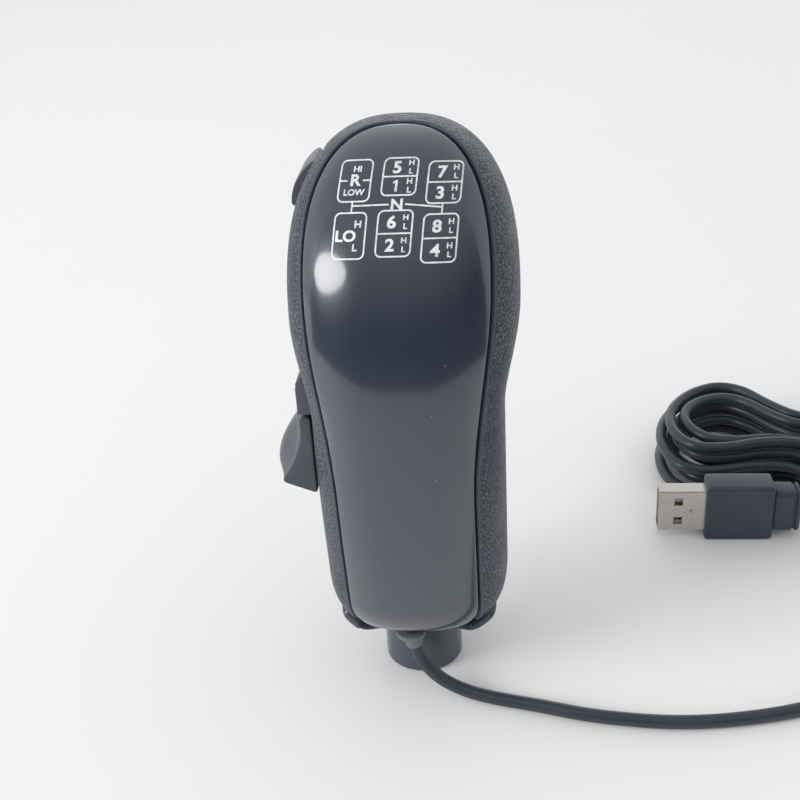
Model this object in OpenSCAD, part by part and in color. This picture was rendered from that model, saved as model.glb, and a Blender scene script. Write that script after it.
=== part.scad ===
// Truck-style gear knob for sim racing, with a range lever, a splitter rocker and a USB lead.
// Millimetres. The front faces -Y, +Z is up, and the origin is the middle of the collar's foot.

/* [Body] */
// Height of the knob
total_h = 122.5; // [116:0.5:129]
// Width of the head
head_w = 46.5; // [44:0.5:49]
// Height of the head's widest part
head_z = 89.5; // [86:0.5:93]
// Width of the grip
grip_w = 39.6; // [37.5:0.1:42]
// Height where the grip starts to widen
waist_z = 67; // [64:0.5:69]
// Height where the rounded foot starts
foot_z = 28; // [27:0.5:30]
// Lowest height that the body's curve would reach
base_z = 12; // [11:0.5:13]
// Reach of the belly before the collar's axis
front_reach = 26.8; // [25.5:0.1:28.5]
// Reach of the front where the foot starts
foot_reach = 21.7; // [20.5:0.1:23]
// Height of the belly
belly_z = 65; // [61:0.5:68]
// Reach of the head behind the axis
back_reach = 32; // [30.5:0.5:34]
// Reach of the grip behind the axis
grip_back = 22; // [20.5:0.5:23.5]
// Set-back of the crown behind the axis
crown_back = 15; // [13.5:0.5:16.5]
// Wall of the shell
wall = 2.2; // [2:0.1:2.6]

/* [Face plate] */
// Width of the plate at the head
plate_w = 35.6; // [34:0.1:38]
// Width of the plate at the foot
plate_foot_w = 27.5; // [26:0.1:28.5]
// Drop from the crown to the plate's upper edge
plate_drop = 0.2; // [0.15:0.05:0.6]
// Height of the plate's lower edge
plate_low = 20; // [19:0.5:21]
// Joint between the plate and the shell
plate_gap = 0.35; // [0.2:0.05:0.6]

/* [Collar] */
// Diameter of the collar
collar_d = 17.5; // [17:0.25:19]
// Core diameter of the shaft's thread
thread_d = 10.2; // [9.6:0.1:10.8]
// Depth of the threaded socket
thread_len = 24; // [20:0.5:26]

/* [Switches] */
// Reach of the range lever's tip beyond the grip
lever_reach = 9.7; // [8.8:0.1:10.4]
// Width of the range lever, front to back
lever_w = 15; // [13.5:0.5:16]
// Height of the range lever's tip
lever_low = 49.8; // [47.5:0.1:52]
// Height of the range lever's pivot
lever_z = 70.2; // [68:0.1:72]
// Swing of the range lever in degrees
lever_swing = 14; // [8:1:16]
// Height of the splitter on the head's side
split_z = 111.5; // [109:0.5:113]
// Set-back of the splitter behind the axis
split_back = 15; // [14:0.5:16]
// Swing of the splitter rocker in degrees
split_swing = 10; // [6:1:11]
// Diameter of both pivot pins
pin_d = 2.4; // [2.2:0.1:2.6]

/* [Cable] */
// Diameter of the USB cable
cable_d = 3; // [2.8:0.1:3.2]
// Turns of the hank in each layer
turns = 2; // [1:1:2]
// Layers of the hank
layers = 4; // [2:2:4]
// Length of the hank from end to end
hank_len = 79; // [74:1:84]

/* [Hidden] */
$fn = 48;
e = 0.01;

// Fits
run_gap = 0.05;
slide_gap = 0.3;
seat_gap = 0.1;

// Body curve
skin_rows = 30;
skin_cols = 48;
side_power = 2.56;
front_power = 2.2;
plan_power = 0.8;
back_z = head_z + 4;
body_mid_z = (total_h + base_z) / 2;
seam_z = plate_low - 0.6;
cap_inset = wall + 0.6;

function clamp01(t) = min(1, max(0, t));
function arch(t, n) = pow(1 - pow(clamp01(t), n), 1 / n);
function ease(t) = let (u = clamp01(t)) u * u * (3 - 2 * u);
function blend(a, b, t) = a + (b - a) * t;
function signed_pow(v, n) = sign(v) * pow(abs(v), n);
function unit(v) = v / norm(v);

function foot(z) = arch((foot_z - z) / (foot_z - base_z), side_power);
function half_width(z) = z > head_z
    ? head_w / 2 * arch((z - head_z) / (total_h - head_z), side_power)
    : blend(grip_w, head_w, ease((z - waist_z) / (head_z - waist_z))) / 2 * foot(z);
function front_y(z) = z > belly_z
    ? crown_back - (crown_back + front_reach) * arch((z - belly_z) / (total_h - belly_z), front_power)
    : -blend(front_reach, foot_reach, pow((belly_z - z) / (belly_z - foot_z), 1.6)) * foot(z);
function back_y(z) = z > back_z
    ? crown_back + (back_reach - crown_back) * arch((z - back_z) / (total_h - back_z), front_power)
    : blend(grip_back, back_reach, ease((z - foot_z * 2) / (back_z - foot_z * 2))) * foot(z);

// Share of the body's size that is left after an inset
function keep(inset, size) = 1 - inset / (size / 2);
function skin_point(z, a, inset) =
    let (mid = (front_y(z) + back_y(z)) / 2, half = (back_y(z) - front_y(z)) / 2) [
        keep(inset, head_w) * half_width(z) * signed_pow(cos(a), plan_power),
        mid + keep(inset, front_reach + back_reach) * half * signed_pow(sin(a), plan_power),
        body_mid_z + keep(inset, total_h - base_z) * (z - body_mid_z)
    ];
function row_z(i) = blend(base_z, total_h, (1 - cos(180 * i / skin_rows)) / 2);

// Triangles of a closed net of rings, each with the same number of points, with fans at both ends
function net_faces(rings, n) = concat(
    [for (j = [1 : n - 2]) [0, j, j + 1]],
    [for (i = [0 : rings - 2], j = [0 : n - 1], half = [0, 1])
        let (a = i * n + j, b = i * n + (j + 1) % n)
        half == 0 ? [a, a + n, b + n] : [a, b + n, b]],
    [for (j = [1 : n - 2]) let (last = (rings - 1) * n) [last, last + j + 1, last + j]]
);

// The body's whole curve, drawn in by an inset
module body_curve(inset = 0) {
    rows = [for (i = [1 : skin_rows - 1]) row_z(i)];
    polyhedron(
        [for (z = rows, j = [0 : skin_cols - 1]) skin_point(z, 360 * j / skin_cols, inset)],
        net_faces(len(rows), skin_cols)
    );
}

// A flat section of the body's curve
module body_section(z, inset) {
    polygon([for (j = [0 : skin_cols - 1])
        let (p = skin_point(z, 360 * j / skin_cols, inset)) [p[0], p[1]]]);
}

// The plate's outline lies in a view from the front, tilted downwards. lean is a height in that view.
plate_tilt = 25;
plate_power = 2.4;
function lean(z) = z + front_y(z) * tan(plate_tilt);
lean_low = lean(plate_low);
lean_top = lean(total_h - plate_drop);
lean_waist = blend(lean_low, lean_top, 0.29);
lean_shoulder = blend(lean_low, lean_top, 0.7);
foot_round = 10;
function plate_half(q) =
    blend(plate_foot_w, plate_w, ease((q - lean_waist) / (lean_shoulder - lean_waist))) / 2
    * arch((q - lean_shoulder) / (lean_top - lean_shoulder), plate_power)
    * arch((lean_low + foot_round - q) / foot_round, 4);

// Depth behind the front that the plate's edges reach, as [height, depth]
plate_depth = [
    [plate_low - 5, 1], [plate_low, 5.5], [plate_low + 6, 8], [belly_z, 13],
    [head_z, 15], [total_h - 8, 14], [total_h, 10]
];

// The plate's outline drawn through the front of the body, grown by a margin
module plate_prism(margin) {
    mid = (lean_top + lean_low) / 2;
    grow = 1 + 2 * margin / (lean_top - lean_low);
    steps = 40;
    side = [for (i = [0 : steps])
        let (q = blend(lean_low, lean_top, (1 - cos(180 * i / steps)) / 2))
        [plate_half(q) + margin, mid + (q - mid) * grow]];
    mirrored = [for (i = [steps : -1 : 0]) [-side[i][0], side[i][1]]];
    behind = [for (d = plate_depth) [front_y(d[0]) + d[1], d[0]]];
    intersection() {
        multmatrix([[1, 0, 0, 0], [0, 1, 0, 0], [0, -tan(plate_tilt), 1, 0], [0, 0, 0, 1]])
            translate([0, total_h, 0])
                rotate([90, 0, 0])
                    linear_extrude(2 * total_h)
                        polygon(concat(side, mirrored));
        rotate([90, 0, 90])
            linear_extrude(head_w, center = true)
                polygon(concat([[-60, plate_low - 5]], behind, [[60, total_h + 5], [-60, total_h + 5]]));
    }
}

// Screws that hold the plate, driven from the back
face_screw_z = [plate_low + 14, waist_z + 6];
screw_r = 1.2;
screw_head_r = 2.1;
boss_meet_y = -2;
screw_seat_y = 5;
boss_r = 3.4;

module along_y(y0, y1, r) {
    translate([0, y0, 0])
        rotate([-90, 0, 0])
            cylinder(r = r, h = y1 - y0);
}

// A boss with draft, wider at its root
module drafted_boss(root_y, tip_y, r) {
    hull() {
        translate([0, root_y, 0]) rotate([-90, 0, 0]) cylinder(r = r + 0.6, h = e, $fn = 20);
        translate([0, tip_y, 0]) rotate([-90, 0, 0]) cylinder(r = r, h = e, $fn = 20);
    }
}

// A gusset that tapers from a boss's root
module gusset(root_y, tip_y, side) {
    hull() {
        translate([side * boss_r, root_y, -0.6]) cube([side > 0 ? 4 : 1, e, 1.2]);
        translate([side * (boss_r - 0.4), tip_y, -0.6]) cube([0.4, e, 1.2]);
    }
}

module face_screws() {
    color("#8d9096")
    for (z = face_screw_z)
        translate([0, 0, z]) difference() {
            union() {
                along_y(screw_seat_y, screw_seat_y + 1.8, screw_head_r);
                along_y(boss_meet_y - 8, screw_seat_y + 0.5, screw_r);
            }
            translate([0, screw_seat_y + 2, 0]) cube([2.6, 2, 0.6], center = true);
            translate([0, screw_seat_y + 2, 0]) cube([0.6, 2, 2.6], center = true);
        }
}

// Controller board, on two posts from the back of the head
board_w = 26;
board_h = 32;
board_t = 1.6;
board_y = 4;
board_z = head_z + 5;
posts = [[9, board_z + 11], [-2, board_z - 11.5]];
board_screw_r = 0.9;

module at_posts() {
    for (p = posts) translate([p[0], 0, p[1]]) children();
}

// Range switch: its pivot lies just inside the grip's left side
lever_x = -(grip_w / 2 - 0.4);
// Splitter switch: its rocker stands out of the head's sloping left side
split_tilt = 35;
rocker_r = 11;
rocker_out = 1.4;
split_x = -half_width(split_z) + (rocker_r - rocker_out) * cos(split_tilt);
split_pivot_z = split_z - (rocker_r - rocker_out) * sin(split_tilt);
rocker_w = 9.6;

module at_range() {
    translate([lever_x, 0, lever_z]) children();
}

module at_splitter() {
    translate([split_x, split_back, split_pivot_z])
        rotate([0, split_tilt, 0]) children();
}

// Shell

slot_low = lever_z - 6.5;
slot_high = lever_z + 5.5;
claw_x = 12;
claw_y = 12;

module grip_shell() {
    color("#2b2b2f")
    difference() {
        union() {
            difference() {
                body_curve(0);
                body_curve(wall);
            }
            intersection() {
                body_curve(wall / 3);
                union() {
                    for (z = face_screw_z) translate([0, 0, z]) {
                        drafted_boss(back_reach, boss_meet_y + seat_gap, boss_r);
                        for (side = [-1, 1]) gusset(back_reach, screw_seat_y + 4, side);
                    }
                    at_posts() drafted_boss(back_reach + 2, board_y + board_t, 2.2);
                    at_splitter()
                        for (side = [-1, 1])
                            translate([-12, side * (rocker_w / 2 + 3.4) - 0.8, -5])
                                cube([13, 1.6, 10]);
                }
            }
        }
        plate_prism(plate_gap);
        translate([-50, -50, -e]) cube([100, 100, seam_z + e]);
        translate([-claw_x, -60, -e]) cube([2 * claw_x, 60 - claw_y, plate_low]);
        translate([0, 0, seam_z - 1]) linear_extrude(6) body_section(plate_low, cap_inset - slide_gap);
        translate([-40, -lever_w / 2 - slide_gap, slot_low])
            cube([40 + lever_x + 6, lever_w + 2 * slide_gap, slot_high - slot_low]);
        at_splitter()
            translate([-16, -rocker_w / 2 - slide_gap, -7.4])
                cube([13, rocker_w + 2 * slide_gap, 14.8]);
        for (z = face_screw_z) translate([0, 0, z]) {
            along_y(screw_seat_y, 60, screw_head_r + slide_gap);
            along_y(boss_meet_y - 1, 60, screw_r + slide_gap);
        }
        at_posts() along_y(board_y, board_y + 10, board_screw_r + 0.08);
    }
}

module face_plate() {
    color("#101013")
    difference() {
        union() {
            intersection() {
                difference() {
                    body_curve(0);
                    body_curve(wall + 0.2);
                }
                plate_prism(0);
            }
            intersection() {
                body_curve(wall / 3);
                for (z = face_screw_z) translate([0, 0, z]) {
                    drafted_boss(-front_reach - 2, boss_meet_y, boss_r - 0.4);
                    for (turn = [0, 90, 180])
                        rotate([0, turn, 0]) gusset(-front_reach - 2, boss_meet_y - 10, 1);
                }
            }
        }
        for (z = face_screw_z)
            translate([0, 0, z]) along_y(boss_meet_y - 9, boss_meet_y + 1, screw_r + run_gap);
        translate([grommet_x, grommet_y, 0]) cylinder(r = cable_d / 2 + 0.7, h = plate_low + 8);
    }
}

// Foot: cap, collar and threaded insert
cap_floor_z = plate_low - 4;
cap_floor_t = 2.4;
flange_r = collar_d / 2 + 4.4;
cap_screw_x = collar_d / 2 + 2.3;

module bottom_cap() {
    color("#1b1b1e")
    difference() {
        union() {
            intersection() {
                difference() {
                    body_curve(0);
                    body_curve(wall);
                }
                cylinder(r = 60, h = seam_z - 0.2);
            }
            intersection() {
                body_curve(wall / 3);
                union() {
                    cylinder(r = flange_r, h = cap_floor_z + cap_floor_t);
                    translate([0, 0, cap_floor_z - 2]) linear_extrude(8) difference() {
                        body_section(plate_low, cap_inset);
                        body_section(plate_low, cap_inset + 1.6);
                    }
                    for (a = [0 : 40 : 320]) rotate([0, 0, a]) hull() {
                        translate([flange_r - 2, -0.6, base_z]) cube([1, 1.2, cap_floor_z - base_z + 2]);
                        translate([flange_r + 5, -0.6, cap_floor_z - 1]) cube([1, 1.2, 2]);
                    }
                }
            }
        }
        translate([0, 0, -1]) cylinder(r = collar_d / 2 + seat_gap, h = 40);
        for (side = [-1, 1]) translate([side * cap_screw_x, 0, 0]) {
            cylinder(r = screw_r + seat_gap, h = 40);
            cylinder(r = screw_head_r + seat_gap, h = cap_floor_z);
        }
        translate([grommet_x, grommet_y, 0]) cylinder(r = grommet_r + 2 * slide_gap, h = 40);
        translate([-claw_x, -60, 0]) cube([2 * claw_x, 60 - claw_y, 40]);
        plate_prism(plate_gap);
    }
}

module collar_sleeve() {
    color("#1e1e21")
    difference() {
        union() {
            translate([0, 0, 0.5]) cylinder(d = collar_d, h = thread_len + 2.5);
            cylinder(d1 = collar_d - 1, d2 = collar_d, h = 0.5);
            translate([0, 0, cap_floor_z + cap_floor_t]) cylinder(r = flange_r, h = 2.4);
        }
        translate([0, 0, -1]) cylinder(d = thread_d + 4, h = thread_len + 1);
        for (side = [-1, 1])
            translate([side * cap_screw_x, 0, 0]) cylinder(r = screw_r + run_gap, h = 40);
        translate([grommet_x, grommet_y, 0]) cylinder(r = cable_d / 2 + 0.6, h = 40);
        intersection() {
            translate([0, 0, cap_floor_z]) linear_extrude(12) difference() {
                circle(r = 40);
                body_section(plate_low, cap_inset + 2.1);
            }
            translate([0, 0, cap_floor_z]) difference() {
                cylinder(r = 40, h = 12);
                cylinder(r = collar_d / 2 + 1, h = 12);
            }
        }
    }
}

module threaded_insert() {
    color("#a9a39a")
    difference() {
        cylinder(d = thread_d + 4, h = thread_len);
        translate([0, 0, -1]) cylinder(d = thread_d, h = thread_len + 2);
    }
}

module cap_screws() {
    color("#8d9096")
    for (side = [-1, 1]) translate([side * cap_screw_x, 0, cap_floor_z]) difference() {
        union() {
            translate([0, 0, -1.6]) cylinder(r = screw_head_r, h = 1.6);
            translate([0, 0, -0.5]) cylinder(r = screw_r, h = cap_floor_t + 2.4);
        }
        translate([0, 0, -2]) cube([2.6, 0.6, 1.6], center = true);
        translate([0, 0, -2]) cube([0.6, 2.6, 1.6], center = true);
    }
}

// Parts that both switches share. The pivot is the origin, -X is outwards.
hub_r = 2.8;
plate_in = 3.4;
plate_thick = 1.5;
finger_half = 1;
press_x = 6.6;
switch_t = 5.8;
switch_w = 12.8;
switch_h = 6.5;
switch_top = -4;
plunger_r = 0.8;
plunger_in = 1.8;
plunger_hole = 3.8;

module along_axis(w, r) {
    rotate([90, 0, 0]) cylinder(r = r, h = w, center = true);
}

module pivot_pin(w) {
    color("#b5b8bd") along_axis(w, pin_d / 2);
}

module micro_switch() {
    color("#17171a")
    difference() {
        translate([plate_in + plate_thick, -switch_w / 2, switch_top - switch_h])
            cube([switch_t, switch_w, switch_h]);
        translate([plate_in + plate_thick + 1.3, 0, switch_top - plunger_hole])
            cylinder(r = plunger_r + 0.15, h = plunger_hole + 1);
    }
    color("#c9b26a")
    for (y = [-5, 0, 5])
        translate([plate_in + plate_thick + 2.4, y - 0.6, switch_top - switch_h - 2.4])
            cube([0.5, 1.2, 2.4 + e]);
}

module plunger() {
    color("#b23a2e")
    translate([plate_in + plate_thick + 1.3, 0, switch_top - plunger_in])
        cylinder(r = plunger_r, h = -switch_top + plunger_in - finger_half - slide_gap);
}

// Finger on a hub that presses the plunger, with room for the pin
module hub(w) {
    along_axis(w, hub_r);
    translate([0, -1.6, -finger_half]) cube([press_x + 2, 3.2, 2 * finger_half]);
}

module pin_bore(w) {
    along_axis(w + 10, pin_d / 2 + run_gap);
}

// Back plate of a cradle, with a window for the finger
module cradle_plate(w, low, high) {
    difference() {
        translate([plate_in, -w / 2, low]) cube([plate_thick, w, high - low]);
        translate([plate_in - 1, -2.2, -4]) cube([plate_thick + 2, 4.4, 6.5]);
    }
}

// Range switch
ear_w = 2.5;
ear_r = 3.2;
ear_top = 5.2;
lever_hub_w = lever_w - 2 * ear_w - 2 * slide_gap;
lever_drop = lever_z - lever_low;
lever_out = lever_reach + 0.4;
lever_in = grip_w / 2 + slide_gap + lever_x;

module range_cradle() {
    color("#1d1d20")
    at_range() difference() {
        union() {
            cradle_plate(lever_w, -12, 10);
            for (side = [-1, 1])
                translate([0, side * (lever_w - ear_w) / 2, 0]) {
                    along_axis(ear_w, ear_r);
                    translate([0, -ear_w / 2, -ear_r]) cube([plate_in + e, ear_w, 2 * ear_r]);
                    translate([-ear_r, -ear_w / 2, 0]) cube([ear_r + plate_in + e, ear_w, ear_top]);
                }
            translate([-ear_r, -lever_w / 2, hub_r + 0.7])
                cube([ear_r + plate_in + e, lever_w, ear_top - hub_r - 0.7]);
        }
        along_axis(lever_w + 2, pin_d / 2);
    }
}

// Reach of the lever's paddle down its face, from a hollow front edge to a full rear edge
function paddle_out(t, full, keep) = ear_r + (lever_out - ear_r) * keep * blend(
    0.75 * pow(max(0, t - 0.24) / 0.76, 1.9), 1 - pow(1 - max(0, t - 0.21) / 0.79, 2), full
);

module paddle() {
    steps = 10;
    slices = 8;
    low = 1.4 - lever_drop;
    outline = function (y) let (full = ease((y + lever_w / 2) / 9.5), keep = arch(0.145 * (y - 2), 2)) concat(
        [[-lever_in, -lever_drop - 1.8], [-lever_in, -2]],
        [for (i = [0 : steps]) let (t = i / steps) [-paddle_out(t, full, keep), blend(-2, low, t)]]
    );
    polyhedron(
        [for (k = [0 : slices]) let (y = lever_w * (0.5 - k / slices)) for (p = outline(y)) [p[0], y, p[1]]],
        net_faces(slices + 1, steps + 3)
    );
}

module range_lever() {
    color("#232326")
    at_range() difference() {
        union() {
            hub(lever_hub_w);
            difference() {
                paddle();
                for (side = [-1, 1])
                    translate([0, side * (lever_w / 2), 0])
                        along_axis(2 * (ear_w + slide_gap), ear_r + slide_gap);
            }
            translate([-hub_r, -lever_hub_w / 2, -6]) cube([hub_r - lever_in, lever_hub_w, 6]);
        }
        pin_bore(lever_w);
    }
}

module range_pin() {
    at_range() pivot_pin(lever_w);
}

module range_spring() {
    color("#a7abb0")
    at_range() translate([-3, -3, hub_r + 0.2]) cube([6, 6, 0.5]);
}

module range_switch() {
    at_range() micro_switch();
}

module range_plunger() {
    at_range() plunger();
}

// Splitter switch
cheek_w = 1.6;
cheek_y = rocker_w / 2 + slide_gap + cheek_w / 2;
cradle_w = 2 * cheek_y + cheek_w;
rocker_half = 30;

module splitter_cradle() {
    color("#1d1d20")
    at_splitter() difference() {
        union() {
            cradle_plate(cradle_w, -10.5, 5);
            for (side = [-1, 1]) translate([0, side * cheek_y, 0]) {
                along_axis(cheek_w, 3.4);
                translate([0, -cheek_w / 2, -3.4]) cube([plate_in + e, cheek_w, 6.8]);
            }
            translate([-1, -cradle_w / 2, hub_r + 0.7]) cube([plate_in + 1 + e, cradle_w, 1]);
        }
        along_axis(cradle_w + 2, pin_d / 2);
    }
}

module splitter_rocker() {
    reach = rocker_r * 1.4;
    color("#1a1a1d")
    at_splitter() rotate([0, -split_swing / 2, 0]) difference() {
        union() {
            intersection() {
                along_axis(rocker_w, rocker_r);
                rotate([90, 0, 0]) linear_extrude(rocker_w, center = true) polygon([
                    [0, 0],
                    reach * [-cos(rocker_half), sin(rocker_half)],
                    [-reach, 0],
                    reach * [-cos(rocker_half), -sin(rocker_half)]
                ]);
            }
            rotate([0, split_swing / 2, 0]) hub(rocker_w);
        }
        pin_bore(rocker_w);
    }
}

module splitter_pin() {
    at_splitter() pivot_pin(cradle_w);
}

module splitter_spring() {
    color("#a7abb0")
    at_splitter() translate([-0.8, -2.5, hub_r + 0.2]) cube([4, 5, 0.5]);
}

module splitter_switch() {
    at_splitter() micro_switch();
}

module splitter_plunger() {
    at_splitter() plunger();
}

// Electronics
module controller_board() {
    color("#1f5a38")
    difference() {
        translate([-board_w / 2, board_y, board_z - board_h / 2]) cube([board_w, board_t, board_h]);
        at_posts() along_y(board_y - 1, board_y + 3, board_screw_r + 0.2);
    }
}

module controller_chip() {
    color("#131316")
    translate([-3.5, board_y - 1.2, board_z - 8]) cube([7, 1.2, 7]);
}

header_z = board_z - board_h / 2 + 2;
rear_header_y = board_y + board_t + 2.5;
rear_header_z = header_z + 4.5;

module board_connectors() {
    color("#e4e1d6") {
        translate([2, board_y - 5.5, header_z]) cube([9, 5.5, 4.5]);
        translate([-12, board_y - 5, header_z]) cube([7, 5, 4.5]);
        translate([-12.5, board_y + board_t, header_z]) cube([6.5, 5, 4.5]);
    }
}

module board_screws() {
    color("#8d9096")
    at_posts() difference() {
        union() {
            along_y(board_y - 1.4, board_y, 1.7);
            along_y(board_y - 0.5, board_y + 7, board_screw_r);
        }
        translate([0, board_y - 1.6, 0]) cube([2.2, 1.4, 0.5], center = true);
        translate([0, board_y - 1.6, 0]) cube([0.5, 1.4, 2.2], center = true);
    }
}

// A tube along a route, with its sides kept square to a reference direction
function bend_at(route, i) = let (last = len(route) - 1)
    unit(route[min(last, i + 1)] - route[max(0, i - 1)]);
function bends(route) = [for (i = [0 : len(route) - 1]) bend_at(route, i)];
function tube_ring(p, t, ref, r, n) = let (side = unit(cross(t, ref)), up = cross(t, side))
    [for (j = [0 : n - 1]) p + r * (cos(360 * j / n) * side + sin(360 * j / n) * up)];

module tube(route, along, d, n, ref = [0, 0, 1]) {
    rings = [for (i = [0 : len(route) - 1]) tube_ring(route[i], along[i], ref, d / 2 * 1.02, n)];
    polyhedron([for (ring = rings, p = ring) p], net_faces(len(route), n));
}

// A smooth curve through points, with a number of steps in each gap
function knot(p, i) = let (last = len(p) - 1)
    i < 0 ? 2 * p[0] - p[1] : i > last ? 2 * p[last] - p[last - 1] : p[i];
function spline_at(p, i, t) =
    let (a = knot(p, i - 1), b = knot(p, i), c = knot(p, i + 1), d = knot(p, i + 2))
    0.5 * (2 * b + (c - a) * t + (2 * a - 5 * b + 4 * c - d) * t * t
        + (3 * b - a - 3 * c + d) * t * t * t);
function smooth(p, steps) = concat(
    [for (i = [0 : len(p) - 2], k = [0 : steps - 1]) spline_at(p, i, k / steps)],
    [p[len(p) - 1]]
);

// A cord through points, cut square to its first and last stretch
module cord(p, steps, d, n, ref = [0, 0, 1]) {
    route = smooth(p, steps);
    last = len(route) - 1;
    along = [for (i = [0 : last])
        i == 0 ? unit(p[1] - p[0]) : i == last ? unit(p[len(p) - 1] - p[len(p) - 2]) : bend_at(route, i)];
    tube(route, along, d, n, ref);
}

wire_d = 1.2;
// Where a switch's terminals end, in the switch's own frame
terminal_x = plate_in + plate_thick + 2.65;
terminal_z = switch_top - switch_h - 2.4;

module range_wires() {
    x = lever_x + terminal_x;
    z = lever_z + terminal_z;
    color("#a83232")
    for (side = [-1, 1])
        cord([
            [x, 5 * side, z], [x, 5 * side, z - 3], [x + 3, 4 * side, z - 4.5],
            [x + 5.4, 2.5 * side, z], [x + 5.4, 1.5 * side, z + 12],
            [-8.5 + side, board_y - 2.5 + side, header_z - 4],
            [-8.5 + side, board_y - 2.5 + side, header_z]
        ], 3, wire_d, 6, [0, 1, 0.1]);
}

module splitter_wires() {
    start = [
        split_x + terminal_x * cos(split_tilt) + terminal_z * sin(split_tilt), split_back,
        split_pivot_z - terminal_x * sin(split_tilt) + terminal_z * cos(split_tilt)
    ];
    down = [-sin(split_tilt), 0, -cos(split_tilt)];
    color("#2f5fa8")
    for (side = [-1, 0])
        let (p = start + [0, 5 * side, 0], to = [-8 + side * 2, rear_header_y, rear_header_z])
        cord([
            p, p + 1.5 * down, [p[0] + 1, p[1] - 1, p[2] - 4], to + [0, 0, 3], to
        ], 3, wire_d, 6, [0, 1, 0.1]);
}

// Cable: grommet under the front, then a free stretch to the hank
grommet_x = -1.5;
grommet_y = -13.8;
grommet_r = 3.2;
grommet_z = cap_floor_z - 0.6;
exit_turn = 166;
exit_dir = [sin(exit_turn), 0, cos(exit_turn)];
exit_len = 3.4;
exit_at = [grommet_x, grommet_y, grommet_z + 0.6] + exit_len * exit_dir;

module usb_inner_lead() {
    color("#151517")
    cord([
        [grommet_x, grommet_y, grommet_z + 1.2], [grommet_x, grommet_y, grommet_z + 6],
        [4, -12.5, 28], [9, -7, 38], [9, -2, 52], [8, -1, 66], [6.5, board_y - 2.8, header_z - 4],
        [6.5, board_y - 2.8, header_z]
    ], 3, cable_d, 8, [1, 0.2, 0]);
}

module cable_grommet() {
    color("#3a3a3e") {
        translate([grommet_x, grommet_y, grommet_z]) cylinder(r = grommet_r, h = 1.2);
        difference() {
            translate([grommet_x, grommet_y, grommet_z + 0.6])
                rotate([0, exit_turn, 0]) cylinder(r1 = 2.3, r2 = 1.9, h = exit_len);
            translate([grommet_x - 8, grommet_y - 8, grommet_z + 1.2]) cube(16);
        }
    }
}

// Hank: turns that spiral in and out in layers from the top down, drawn in at the waist
hank_mid = [100, 75];
hank_turn = -21;
tie_t = 1;
turn_step = cable_d + 1.3;
layer_step = cable_d + 0.65;
hank_half = hank_len / 2 - cable_d / 2;
waist_in = 2;
waist_out = waist_in + turns * turn_step;
end_in = 16;
end_out = end_in + turns * 9.5;
hank_lift = tie_t + 0.1 + cable_d / 2 * 1.02;
all_turns = turns * layers;
turn_start = 0.13;
turn_end = 0.12;
turn_rings = 24;

// Share of the way from the outermost turn to the innermost, in and out again layer by layer
function spiral(t) = let (k = min(floor(t / turns), layers - 1), u = t / turns - k)
    k % 2 == 0 ? u : 1 - u;
function descent(t) = let (k = round(t / turns), u = (t - k * turns) * 2 + 0.5)
    (k == 0 || k == layers ? min(k, layers - 1) : k - 1 + ease(u)) * layer_step;
function hank_at(t) =
    let (
        a = 270 + 360 * t, s = spiral(t), tight = pow(abs(sin(a)), 6),
        p = (hank_half - turns * 3.8 * s) * cos(a),
        q = sin(a) * blend(blend(end_out, end_in, s), blend(waist_out, waist_in, s), tight)
    ) [
        hank_mid[0] + p * cos(hank_turn) - q * sin(hank_turn),
        hank_mid[1] + p * sin(hank_turn) + q * cos(hank_turn),
        hank_lift + (layers - 1) * layer_step - descent(t)
    ];
hank_steps = round(all_turns * turn_rings);
hank_turns = [for (i = [0 : hank_steps]) hank_at(blend(turn_start, all_turns + turn_end, i / hank_steps))];
hank_head = unit(hank_turns[1] - hank_turns[0]);
hank_tail = unit(hank_turns[hank_steps] - hank_turns[hank_steps - 1]);
hank_route = concat(
    [hank_turns[0] - cable_d * hank_head], hank_turns, [hank_turns[hank_steps] + cable_d * hank_tail]
);
hank_end = hank_route[len(hank_route) - 1];

// Least distance between stretches of the hank that are at least half a turn apart
function to_segment(p, a, b) = let (ab = b - a, t = clamp01((p - a) * ab / (ab * ab))) norm(p - a - t * ab);
hank_gap = min([for (i = [0 : 1 : hank_steps - 12], j = [i + 12 : 1 : hank_steps - 1])
    let (far = norm(hank_turns[i] - hank_turns[j]))
    far > 14 ? far : to_segment(hank_turns[i], hank_turns[j], hank_turns[j + 1])]) - cable_d * 1.02;
function route_length(p) = len(p) < 2 ? 0
    : [for (i = 1, sum = norm(p[1] - p[0]); i < len(p); i = i + 1,
        sum = sum + (i < len(p) ? norm(p[i] - p[i - 1]) : 0)) sum][len(p) - 2];

module cable_hank() {
    color("#18181a") tube(hank_route, bends(hank_route), cable_d, 6);
}

// Strap round the hank, a little past its middle
tie_at = 7;
tie_w = 5;
function hank_reach(p) = let (s = sqrt(1 - pow(p / hank_half, 2))) s * blend(end_out, waist_out, pow(s, 6));

module cable_tie() {
    half = hank_reach(tie_at + tie_w / 2) + cable_d / 2 + 1.4;
    high = hank_lift + (layers - 1) * layer_step + cable_d / 2 + 0.6;
    color("#111113")
    translate([hank_mid[0], hank_mid[1], 0]) rotate([0, 0, hank_turn])
        difference() {
            translate([tie_at - tie_w / 2, -half - tie_t, 0]) cube([tie_w, 2 * (half + tie_t), high + tie_t]);
            translate([tie_at - tie_w, -half, tie_t]) cube([2 * tie_w, 2 * half, high - tie_t]);
        }
}

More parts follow.
